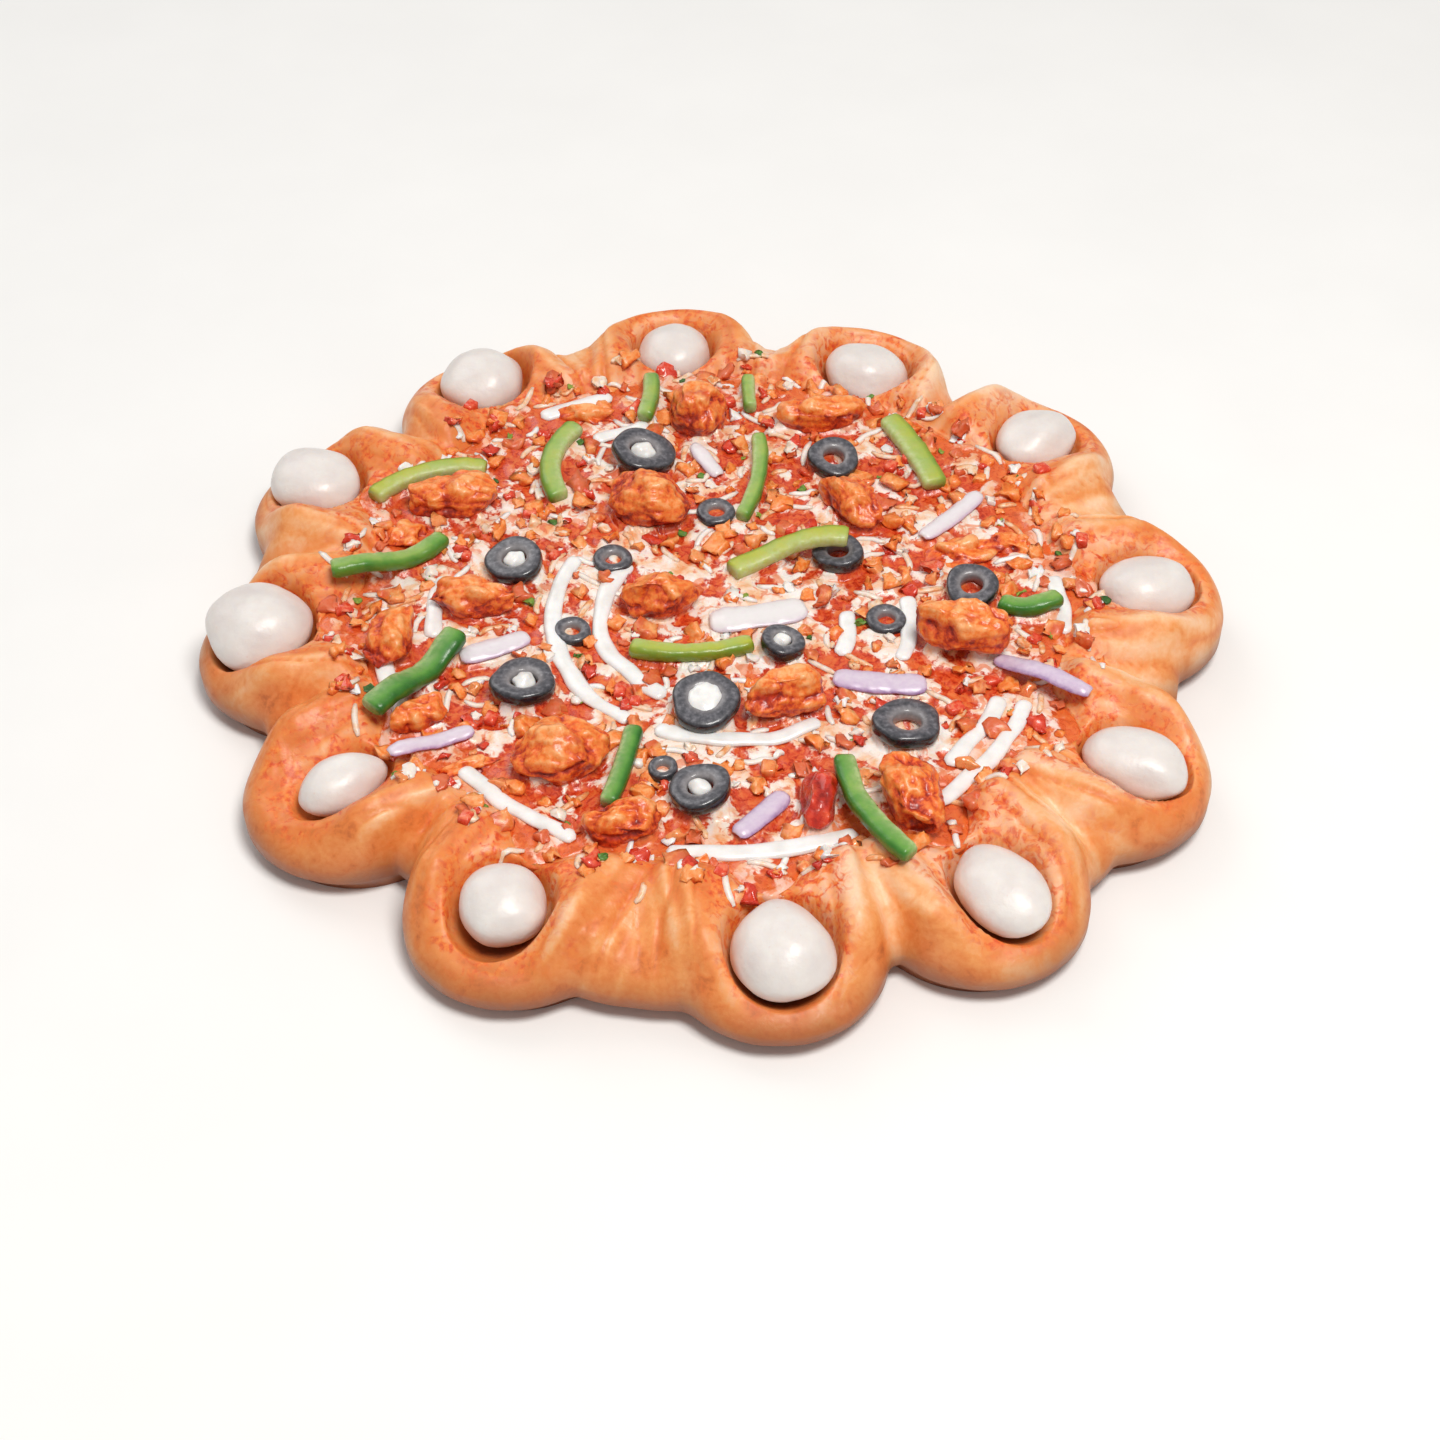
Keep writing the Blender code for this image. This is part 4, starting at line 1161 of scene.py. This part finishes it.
def strip_mesh(row, solid, section, thickness, arch, strength, tip):
    """A strip laid like its solid. Gives its mesh and each point's place across the strip, from -1 to 1."""
    x, y, turn, length, bend, width = row
    bm = bmesh.new()
    rings = arc_rings(bm, length, bend, section, round(length / STRIP_STEP))
    across = [2.0 * point[0] / width for point in section] * len(rings)
    for place, ring in enumerate(rings):
        spot = middle_of(ring) + Vector((x, y, 0.0))
        share = 1.0 + 0.12 * grain(spot.x, spot.y, 17.0, 6.0)
        share *= mix(tip[0], 1.0, tip_share(min(place, len(rings) - 1 - place) * STRIP_STEP, tip[1]))
        for vert, side in zip(ring, across):
            vert.co.z += arch * (0.5 - side * side)
        swell(ring, share)
    put([vert for ring in rings for vert in ring], bm, x, y, turn)
    for ring, top in zip(rings, strip_tops(rings, solid)):
        bmesh.ops.translate(bm, verts=ring, vec=(0.0, 0.0, top - thickness / 2 - arch / 2))
        for vert in ring:
            vert.co += Vector((0.0, 0.0, strength)) * grain(vert.co.x, vert.co.y, vert.co.z, 2.2)
    bmesh.ops.recalc_face_normals(bm, faces=bm.faces[:])
    return bm, across


green_pepper = pepper_finish()
for count, (row, tone) in enumerate(PEPPERS, start=1):
    solid = f"pepper_{count:02d}"
    section = oval_section(row[5], PEPPER_THICKNESS, PEPPER_CORNERS, 0.62)
    bm, across = strip_mesh(row, solid, section, PEPPER_THICKNESS, 0.0, 0.35, PEPPER_TIP)
    outer = -math.copysign(1.0, row[4])
    skins = [smooth_step(0.35, 0.85, side * outer) for side in across]
    lights = [smooth_step(0.0, 0.8, -side * outer) for side in across]
    values = [(skin, tone, light) for skin, light in zip(skins, lights)]
    write_points(bm, "tint", values)
    finish_piece(bm, f"pepper_strip_{count:02d}", green_pepper, "pepper", solid)

onion_layer = onion_finish()
for count, (row, lilac) in enumerate(ONIONS, start=1):
    solid = f"onion_{count:02d}"
    section = oval_section(row[5], ONION_THICKNESS, ONION_CORNERS, 0.75)
    bm, across = strip_mesh(row, solid, section, ONION_THICKNESS, ONION_ARCH, 0.3, ONION_TIP)
    values = [(smooth_step(0.6, 1.0, abs(side)), lilac, 0.5 + 0.5 * math.cos(side * 16.0)) for side in across]
    write_points(bm, "tint", values)
    finish_piece(bm, f"onion_strip_{count:02d}", onion_layer, "onion", solid)
print("strips:", len(PEPPERS) + len(ONIONS))

# %% [markdown]
# Torn chicken
#
# The chicken was pulled apart by hand and tossed in a red marinade. Each solid lump is copied, cut finer
# and rounded, and then roughened: big knobs first, then fibres along the piece, then fine crumbs. Its
# colour carries painted light and shade: crevices and the lower part are painted dark red, and the top
# and what stands out are painted light orange. Last, the piece is brought back to its solid's box.

# %% Chicken finish
def chicken_finish():
    finish, tree, shader = new_finish("chicken", coat_weight=0.3, coat_roughness=0.2)
    let_light_in(shader, 0.15, (1.0, 0.35, 0.15), 1.2)
    # The first value is painted light and shade: dark red in clefts and low down, light orange on top.
    depth, tone, _ = channels(tree, "tint")
    fine = spots(tree, 1.2, detail=5.0, warp=0.6)
    wide = spots(tree, 5.0, detail=3.0)
    depth = calculate(tree, "ADD", depth, between(tree, fine, 0.3, 0.7, -0.18, 0.18))
    # From the painted shadow's dark red up to the painted highlight's pale orange.
    base = ramp(
        tree, depth, (0.0, 0x8E1E0C), (0.2, 0xC43A12), (0.4, 0xE8641F), (0.62, 0xF38433), (1.0, 0xFAB070)
    )
    red = between(tree, add(tree, "Math", {0: wide, 1: tone}).outputs["Value"], 1.1, 1.35, 0.0, 0.7)
    base = blend(tree, red, base, colour(0xCC3014))
    tree.links.new(base, shader.inputs["Base Color"])
    tree.links.new(between(tree, fine, 0.3, 0.7, 0.3, 0.5), shader.inputs["Roughness"])
    bump(tree, shader, fine, 0.4, 0.4)
    return finish


# %% Model the chicken
LUMP_ROUNDS = 4
KNOB_SIZE = 5.0
KNOB_HEIGHT = 1.0
CLEFT_SIZE = 9.0
CLEFT_DEPTH = 0.7
FIBRE_SIZE = 1.5
FIBRE_RUN = 8.0
FIBRE_HEIGHT = 0.45
CRUMB_SIZE = 1.8
CRUMB_HEIGHT = 0.4


def cut_finer(bm, rounds):
    """Halves every edge and rounds the corners off, as often as asked."""
    for count in range(rounds):
        bmesh.ops.subdivide_edges(bm, edges=bm.edges[:], cuts=1, use_grid_fill=True)
        if count < 2:
            ways = {"use_axis_x": True, "use_axis_y": True, "use_axis_z": True}
            bmesh.ops.smooth_vert(bm, verts=bm.verts[:], factor=0.5, **ways)
    bm.normal_update()


def span(bm, axis):
    values = [vert.co[axis] for vert in bm.verts]
    return min(values), max(values)


def roughen(bm, strength=1.0):
    """Torn meat: knobs, clefts, fibres and crumbs. Gives each point's painted light, from 0 to 1: lighter
    high up and on knobs and fibres, darker in clefts.
    """
    (left, right), (near, far), (low, high) = [span(bm, axis) for axis in range(3)]
    run = (FIBRE_RUN, FIBRE_SIZE) if right - left > far - near else (FIBRE_SIZE, FIBRE_RUN)
    painted_light, moves = [], []
    for vert in bm.verts:
        x, y, z = vert.co
        knob = grain(x, y, z + 50.0, KNOB_SIZE)
        cleft = max(1.0 - abs(2.6 * grain(x + 20.0, y, z, CLEFT_SIZE)), 0.0) ** 2
        fibre = noise.noise(Vector((x / run[0], y / run[1], z / FIBRE_SIZE)))
        crumb = grain(x, y, z + 90.0, CRUMB_SIZE)
        height = KNOB_HEIGHT * knob - CLEFT_DEPTH * cleft + FIBRE_HEIGHT * fibre + CRUMB_HEIGHT * crumb
        lift = (z - low) / (high - low)
        # Painted light: lighter high up and on knobs and fibres, painted shade in clefts.
        painted_light.append(0.2 + 0.62 * lift + 0.3 * knob - 0.35 * cleft + 0.35 * fibre + 0.2 * crumb)
        moves.append(vert.normal * height * strength * smooth_step(low - 1.0, low + 3.0, z))
    for vert, move in zip(bm.verts, moves):
        vert.co += move
    return [min(max(value, 0.0), 1.0) for value in painted_light]


def fit_between(bm, low, high):
    """Scales a mesh to the box between two corners."""
    for axis in range(3):
        least, most = span(bm, axis)
        for vert in bm.verts:
            vert.co[axis] = mix(low[axis], high[axis], (vert.co[axis] - least) / (most - least))


def tint_lump(bm, painted_light):
    tones = [0.5 + 0.3 * grain(*vert.co, 6.0) for vert in bm.verts]
    write_points(bm, "tint", [(value, tone, 0.0) for value, tone in zip(painted_light, tones)])


def dressed_lump(solid, strength=1.0):
    bm = solid_mesh(solid)
    cut_finer(bm, LUMP_ROUNDS)
    painted_light = roughen(bm, strength)
    low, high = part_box(solid)
    fit_between(bm, low / MM - UP * 0.6, high / MM)
    tint_lump(bm, painted_light)
    return bm


chicken = chicken_finish()
for solid in sorted(name for name in topping_names if name.startswith("chicken")):
    piece = finish_piece(dressed_lump(solid), solid.replace("chicken", "torn"), chicken, "chicken", solid)
report(piece)

# %% [markdown]
# Tomato
#
# Tomato is wet and smooth and deep red, orange in places, with painted light that makes it lighter on
# top and painted shade that makes it darker below. The one large piece is made like a lump of chicken,
# but much less rough.

# %% Tomato finish and the large piece
TOMATO_STRENGTH = 0.4


def tomato_finish():
    finish, tree, shader = new_finish("tomato", coat_weight=0.5, coat_roughness=0.1)
    let_light_in(shader, 0.2, (1.0, 0.25, 0.12), 1.5)
    painted_light, tone, _ = channels(tree, "tint")
    fine = spots(tree, 1.4, detail=4.0)
    painted_light = calculate(tree, "ADD", painted_light, between(tree, fine, 0.3, 0.7, -0.15, 0.15))
    # Painted light and shade: dark red below and lighter red on top.
    red = ramp(tree, painted_light, (0.0, 0x8C160A), (0.45, 0xC72A14), (0.8, 0xE2492B), (1.0, 0xEE7E58))
    orange = ramp(tree, painted_light, (0.0, 0xB83510), (0.5, 0xE0642A), (1.0, 0xF29A5A))
    tree.links.new(blend(tree, between(tree, tone, 0.6, 0.8), red, orange), shader.inputs["Base Color"])
    tree.links.new(between(tree, fine, 0.3, 0.7, 0.2, 0.36), shader.inputs["Roughness"])
    bump(tree, shader, fine, 0.3, 0.3)
    return finish


tomato = tomato_finish()
tomato_shape = dressed_lump("tomato_01", TOMATO_STRENGTH)
report(finish_piece(tomato_shape, "tomato_piece", tomato, "tomato", "tomato_01"))

# %% [markdown]
# Crumbled chicken
#
# Where the chicken fell apart it lies in low crumbly heaps, half sunk into the cheese. A sphere is pushed
# about by noise until it is a rough lump, pressed flat underneath, and set to the heap's true size.

# %% Model the crumbled chicken
# x, y, turn, length, width, height
CRUMBLED = (
    (68, 20, 15, 24, 13, 6),
    (81, 24, -15, 15, 9, 5),
    (-84, 27, 20, 14, 12, 5),
    (-35, 78, -5, 20, 9, 6),
    (-61, -60, 15, 17, 7, 4),
)
LUMP_ROUGHNESS = 0.55
LUMP_GRAIN = 0.6
LUMP_UNDERSIDE = -0.55
LUMP_SPREAD = 3.7
SUNK_SHARE = 0.4
HEAP_STRENGTH = 0.6


def heap_mesh(x, y, turn, length, width, height):
    bm = bmesh.new()
    bmesh.ops.create_icosphere(bm, subdivisions=5, radius=1.0)
    for vert in bm.verts:
        place = vert.co / LUMP_GRAIN + Vector((x, y, length)) * LUMP_SPREAD
        vert.co *= 1.0 + LUMP_ROUGHNESS * noise.noise(place)
        vert.co.z = max(vert.co.z, LUMP_UNDERSIDE)
    half = Vector((length / 2, width / 2, 0.0))
    fit_between(bm, -half, half + UP * height)
    put(bm.verts[:], bm, x, y, turn, bed_level(x, y) - SUNK_SHARE * height)
    bm.normal_update()
    tint_lump(bm, roughen(bm, HEAP_STRENGTH))
    return bm


for count, row in enumerate(CRUMBLED, start=1):
    finish_piece(heap_mesh(*row), f"crumbled_{count:02d}", chicken, "chicken", "sauce_and_cheese")
print("heaps of crumbled chicken:", len(CRUMBLED))

# %% [markdown]
# Room for the small toppings
#
# Small toppings fall between the large ones. Circles cover every large topping and every run of cream,
# and a spot is free when it touches none of them. Places follow the pattern of a sunflower, where each
# seed is turned by the golden angle from the one before, so they spread evenly without rows.

# %% Find free room
CHICKEN = (
    (-64, -2, -5, 23, 12), (-18, 35, -22, 24, 16), (-72, 40, 5, 25, 14), (38, 37, -50, 23, 12),
    (-14, -2, 12, 21, 13), (65, -18, -12, 25, 14), (18, -39, 20, 21, 13), (-38, -60, 20, 25, 18),
    (-22, -82, 8, 20, 11), (49, -74, -78, 25, 15), (-4, 78, 80, 22, 16), (31, 76, 5, 26, 11),
    (-84, -17, 80, 21, 12), (-75, -45, 25, 16, 8),
)
TOMATO = (26, -74.5, 82, 19, 9.5)
GOLDEN_ANGLE = math.radians(137.508)


def circles_along(x, y, turn, length, width):
    run = max(length - width, 0.0) / 2
    way = math.radians(turn)
    return [(x + math.cos(way) * run * k, y + math.sin(way) * run * k, width / 2) for k in (-1, 0, 1)]


def circles_on_arc(x, y, turn, length, bend, width):
    sweep = math.radians(bend)
    radius = length / sweep
    steps = max(2, math.ceil(length / width))
    place = Matrix.Translation((x, y, 0.0)) @ Matrix.Rotation(math.radians(turn), 4, "Z")
    circles = []
    for step in range(steps + 1):
        angle = sweep * (step / steps - 0.5)
        spot = place @ Vector((radius * math.sin(angle), radius * (1.0 - math.cos(angle)), 0.0))
        circles.append((spot.x, spot.y, width / 2))
    return circles


taken = []
for x, y, turn, length, width in CHICKEN + (TOMATO,) + tuple(row[:5] for row in CRUMBLED):
    taken += circles_along(x, y, turn, length, width)
for row, _ in PEPPERS + ONIONS:
    taken += circles_on_arc(*row)
taken += [(x, y, diameter / 2) for x, y, diameter, *_ in OLIVES + SMALL_OLIVES]
for arc in CREAM_ARCS:
    taken += circles_on_arc(*cream_place(*arc), CREAM_WIDTH)


def is_free(x, y, radius):
    return all(math.hypot(x - other_x, y - other_y) >= radius + other for other_x, other_y, other in taken)


def sunflower(count, inner, outer):
    """Places spread evenly between two distances from the middle."""
    for seed in range(count):
        reach = mix(inner, outer, math.sqrt((seed + 0.5) / count))
        yield reach * math.cos(seed * GOLDEN_ANGLE), reach * math.sin(seed * GOLDEN_ANGLE)


crust_bm = bmesh.new()
crust_bm.from_mesh(crust.data)
crust_bm.transform(Matrix.Scale(1.0 / MM, 4))
crust_surface = surface(crust_bm)


def on_ground(x, y):
    """Height of whatever is on top at a place, the bed or the dough."""
    hits = [tree.ray_cast(Vector((x, y, SKY)), DOWN)[0] for tree in (bed_surface, crust_surface)]
    return max(hit.z for hit in hits if hit)


print("circles that are taken:", len(taken))

# %% [markdown]
# Diced tomato
#
# Dice have soft edges after baking, so a cube is bevelled once and copied to every place. Two in three
# are red tomato and the third is a cube of orange chicken. Then slow noise makes every copy different.

# %% Model the dice
DICE_COUNT = 54
DICE_SIZE = (3.2, 5.0)
DICE_NARROWING = 0.8
DICE_HALF_DIAGONAL = 0.7
DICE_HEIGHT = 3.0
DICE_REACH = (18.0, 86.0)
DICE_CLEARANCE = 1.0
DICE_LIFT = 0.3
DICE_WARP = 0.45
DICE_SEED = 12
# More dice that lie on the bed or at its edge: x, y, size
LOOSE_DICE = (
    (-62, 77, 4.5), (-70, 81, 4.0), (5, 84, 3.5), (55, 58, 4.0), (60, 78, 3.5), (72, -30, 4.0),
    (62, -40, 4.5), (-24, -34, 4.0), (92, 50, 4.5), (100, 20, 4.0), (-95, -34, 3.5), (-60, -82, 4.0),
    (2, -98, 4.0), (-92, 48, 4.5),
)


def die_shape():
    bm = bmesh.new()
    bmesh.ops.create_cube(bm, size=1.0)
    soft = {"affect": "EDGES", "offset": 0.2, "segments": 2, "profile": 0.5, "material": -1}
    bmesh.ops.bevel(bm, geom=bm.edges[:], **soft)
    shape = bpy.data.meshes.new("die_shape")
    bm.to_mesh(shape)
    bm.free()
    return shape


def copy_in(bm, shape, x, y, z, turn, sizes, tilt=0.0):
    """Adds a copy of a shape at a place, and gives its points."""
    bm.verts.ensure_lookup_table()
    start = len(bm.verts)
    bm.from_mesh(shape)
    bm.verts.ensure_lookup_table()
    made = bm.verts[start:]
    lean = Matrix.Rotation(math.radians(tilt), 4, "X")
    place = Matrix.Translation((x, y, z)) @ Matrix.Rotation(math.radians(turn), 4, "Z") @ lean
    bmesh.ops.transform(bm, matrix=place @ Matrix.Diagonal((*sizes, 1.0)), verts=made)
    return made


def uneven(verts, strength, size):
    """Pushes points about by noise and gives how far up in their piece they are, from 0 to 1."""
    low = min(vert.co.z for vert in verts)
    high = max(vert.co.z for vert in verts)
    lifts = [(vert.co.z - low) / (high - low) for vert in verts]
    for vert in verts:
        place = vert.co / size
        push = Vector((noise.noise(place), noise.noise(place.yzx), noise.noise(place.zxy)))
        vert.co += push * strength
    return lifts


def dice_rows():
    draw = random.Random(DICE_SEED)
    for count, (x, y) in enumerate(sunflower(DICE_COUNT, *DICE_REACH)):
        size, turn = draw.uniform(*DICE_SIZE), draw.uniform(0.0, 90.0)
        if is_free(x, y, size * DICE_HALF_DIAGONAL + DICE_CLEARANCE):
            yield x, y, bed_level(x, y) + DICE_LIFT, turn, size, 0.9 if count % 3 == 2 else 0.2
    for x, y, size in LOOSE_DICE:
        yield x, y, on_ground(x, y) + DICE_LIFT, draw.uniform(0.0, 90.0), size, 0.2


die = die_shape()
bm, values = bmesh.new(), []
for x, y, z, turn, size, tone in dice_rows():
    made = copy_in(bm, die, x, y, z, turn, (size, size * DICE_NARROWING, DICE_HEIGHT))
    # The first value is painted light: each die lighter on top and darker at its foot.
    values += [(0.25 + 0.6 * lift, tone, 0.0) for lift in uneven(made, DICE_WARP, 2.5)]
write_points(bm, "tint", values)
report(finish_piece(bm, "diced_tomato", tomato, "tomato", "sauce_and_cheese"))

# %% [markdown]
# Crumbs, shreds and herbs
#
# Between the dice lie crumbs of chicken, bits of tomato and of cheese, a few flecks of herb, and shreds
# of cheese that kept their shape. Each kind is one piece of many small copies. A cube cut in three each
# way and half rounded is enough for a crumb of a few millimetres, and a shred is a short arc.

# %% Model the smallest toppings
SCATTER_REACH = (3.0, 103.0)
SCATTER_WANDER = 2.5
CRUMB_ROUNDNESS = 0.6
CRUMB_ROOM = 0.6
CRUMB_TILT = 25.0
CRUMB_SUNK = 0.3
CRUMB_PUSH = 0.42
CRUMB_PUSH_SIZE = 0.45
SHREDS = 340
SHREDS_SEED = 5
SHRED_ROOM = 0.8
SHRED_WIDTH = 1.8
SHRED_THICKNESS = 1.1
SHRED_CORNERS = 6
SHRED_STEPS = 5
SHRED_LENGTH = (4.0, 11.0)
SHRED_BEND = (15.0, 80.0)
SHRED_TIP = 0.55
SHRED_LIFT = 0.25


def crumb_shape():
    bm = bmesh.new()
    bmesh.ops.create_cube(bm, size=1.0)
    bmesh.ops.subdivide_edges(bm, edges=bm.edges[:], cuts=2, use_grid_fill=True)
    for vert in bm.verts:
        vert.co = mix(vert.co, vert.co.normalized() * 0.5, CRUMB_ROUNDNESS)
    shape = bpy.data.meshes.new("crumb_shape")
    bm.to_mesh(shape)
    bm.free()
    return shape


def scattered(count, seed, room):
    """Free places with the draw that made them, for a count of small things."""
    draw = random.Random(seed)
    for x, y in sunflower(count, *SCATTER_REACH):
        x += draw.uniform(-SCATTER_WANDER, SCATTER_WANDER)
        y += draw.uniform(-SCATTER_WANDER, SCATTER_WANDER)
        if is_free(x, y, room):
            yield x, y, draw


def crumbs_mesh(count, seed, least, most, flatness):
    bm, values = bmesh.new(), []
    for x, y, draw in scattered(count, seed, CRUMB_ROOM):
        size = draw.uniform(least, most)
        sizes = (size, size * draw.uniform(0.6, 1.0), size * flatness)
        turn, tone, tilt = draw.uniform(0.0, 360.0), draw.random(), draw.uniform(-CRUMB_TILT, CRUMB_TILT)
        height = on_ground(x, y) + size * flatness * CRUMB_SUNK
        made = copy_in(bm, crumb, x, y, height, turn, sizes, tilt)
        lifts = uneven(made, size * CRUMB_PUSH, size * CRUMB_PUSH_SIZE)
        # The first value is painted light: lighter on top and darker below, with some tone at random.
        values += [(0.15 + 0.5 * lift + 0.35 * tone, tone, 0.0) for lift in lifts]
    write_points(bm, "tint", values)
    return bm


def shred_finish():
    finish, tree, shader = new_finish("cheese_shreds", roughness=0.35, coat_weight=0.2, coat_roughness=0.2)
    let_light_in(shader, 0.25, (1.0, 0.6, 0.3), 1.0)
    _, tone, _ = channels(tree, "tint")
    tone = calculate(tree, "ADD", tone, between(tree, spots(tree, 2.0), 0.3, 0.7, -0.2, 0.2))
    base = ramp(tree, tone, (0.0, 0xF3F0ED), (0.5, 0xF0E0D2), (0.85, 0xEFBE93), (1.0, 0xE9965A))
    tree.links.new(base, shader.inputs["Base Color"])
    return finish


def herb_finish():
    finish, tree, shader = new_finish("herbs", roughness=0.5)
    _, tone, _ = channels(tree, "tint")
    tone = calculate(tree, "ADD", tone, between(tree, spots(tree, 0.8), 0.3, 0.7, -0.2, 0.2))
    base = ramp(tree, tone, (0.0, 0x2F5A22), (0.5, 0x5F8A34), (1.0, 0x9AA63C))
    tree.links.new(base, shader.inputs["Base Color"])
    return finish


def shreds_mesh():
    bm, values = bmesh.new(), []
    section = oval_section(SHRED_WIDTH, SHRED_THICKNESS, SHRED_CORNERS)
    for x, y, draw in scattered(SHREDS, SHREDS_SEED, SHRED_ROOM):
        length, side, bend = draw.uniform(*SHRED_LENGTH), draw.choice((-1.0, 1.0)), draw.uniform(*SHRED_BEND)
        turn, tone = draw.uniform(0.0, 180.0), draw.random()
        rings = arc_rings(bm, length, side * bend, section, SHRED_STEPS)
        put([vert for ring in rings for vert in ring], bm, x, y, turn)
        for place, ring in enumerate(rings):
            swell(ring, SHRED_TIP if place in (0, SHRED_STEPS) else 1.0)
            spot = middle_of(ring)
            bmesh.ops.translate(bm, verts=ring, vec=(0.0, 0.0, on_ground(spot.x, spot.y) + SHRED_LIFT))
            values += [(0.5, tone, 0.0)] * len(ring)
    write_points(bm, "tint", values)
    bmesh.ops.recalc_face_normals(bm, faces=bm.faces[:])
    return bm


crumb = crumb_shape()
shredded = shred_finish()
# Name, finish and slot; then how many, the seed, the least and the most size, and how flat
CRUMB_KINDS = (
    ("chicken_crumbs", chicken, "chicken", (480, 3, 2.4, 6.5, 0.4)),
    ("tomato_bits", tomato, "tomato", (240, 8, 2.0, 5.5, 0.4)),
    ("cheese_bits", shredded, "cheese", (240, 14, 2.0, 4.5, 0.4)),
    ("herb_flecks", herb_finish(), "pepper", (90, 21, 1.5, 3.0, 0.4)),
)
for name, finish, slot, kind in CRUMB_KINDS:
    report(finish_piece(crumbs_mesh(*kind), name, finish, slot, "sauce_and_cheese"))
report(finish_piece(shreds_mesh(), "cheese_shreds", shredded, "cheese", "sauce_and_cheese"))

# %% [markdown]
# Floor, light and camera
#
# The pizza stands on a plain pale floor under one broad soft light from above and in front, with a weak
# one behind and pale surroundings, so that shadows stay soft. The camera looks along +Y and down at 43
# degrees, from as far away as the pizza's own perspective shows.

# %% Set the stage
CAMERA_DISTANCE = 705.4
CAMERA_TILT = math.radians(43.18)
CAMERA_TARGET_HEIGHT = 17.5
CAMERA_LENS = 65.94
CAMERA_SENSOR = 36.0
FRAME_SIDE = 1440.0
FRAME_CENTRE = (713.0, 607.9)
FLOOR_SIDE = 3.0
SKY_STRENGTH = 0.35
# Name, place in metres, size, power and colour
LIGHTS = (
    ("key", (0.25, -0.35, 1.2), 0.5, 12.0, (1.0, 0.98, 0.95)),
    ("back", (-0.6, 0.8, 0.9), 0.8, 3.0, (1.0, 1.0, 1.0)),
)


def make_floor():
    bm = bmesh.new()
    bmesh.ops.create_grid(bm, x_segments=1, y_segments=1, size=FLOOR_SIDE)
    mesh = bpy.data.meshes.new("floor")
    bm.to_mesh(mesh)
    bm.free()
    floor = bpy.data.objects.new("floor", mesh)
    bpy.context.scene.collection.objects.link(floor)
    finish, tree, shader = new_finish("floor", roughness=0.7)
    pale = ramp(tree, spots(tree, 60.0), (0.3, 0xF4F3F1), (0.7, 0xF7F6F4))
    tree.links.new(pale, shader.inputs["Base Color"])
    mesh.materials.append(finish)


def soft_light(name, place, size, power, warmth):
    lamp = bpy.data.lights.new(name, "AREA")
    lamp.shape = "DISK"
    lamp.size = size
    lamp.energy = power
    lamp.color = warmth
    held = bpy.data.objects.new(name, lamp)
    held.location = place
    held.rotation_euler = (-Vector(place)).to_track_quat("-Z", "Y").to_euler()
    bpy.context.scene.collection.objects.link(held)


def make_camera():
    lens = bpy.data.cameras.new("camera")
    lens.lens = CAMERA_LENS
    lens.sensor_width = CAMERA_SENSOR
    lens.shift_x = (FRAME_SIDE / 2 - FRAME_CENTRE[0]) / FRAME_SIDE
    lens.shift_y = -(FRAME_SIDE / 2 - FRAME_CENTRE[1]) / FRAME_SIDE
    camera = bpy.data.objects.new("camera", lens)
    back = CAMERA_DISTANCE * math.cos(CAMERA_TILT)
    rise = CAMERA_TARGET_HEIGHT + CAMERA_DISTANCE * math.sin(CAMERA_TILT)
    camera.location = (0.0, -back * MM, rise * MM)
    camera.rotation_euler = (math.pi / 2 - CAMERA_TILT, 0.0, 0.0)
    bpy.context.scene.collection.objects.link(camera)
    bpy.context.scene.camera = camera


make_floor()
for light in LIGHTS:
    soft_light(*light)
make_camera()
world = bpy.data.worlds.new("studio")
world.use_nodes = True
sky = world.node_tree.nodes["Background"]
sky.inputs["Color"].default_value = (1.0, 1.0, 1.0, 1.0)
sky.inputs["Strength"].default_value = SKY_STRENGTH
bpy.context.scene.world = world
bpy.context.scene.view_settings.view_transform = "Standard"
print("camera and lights in place")
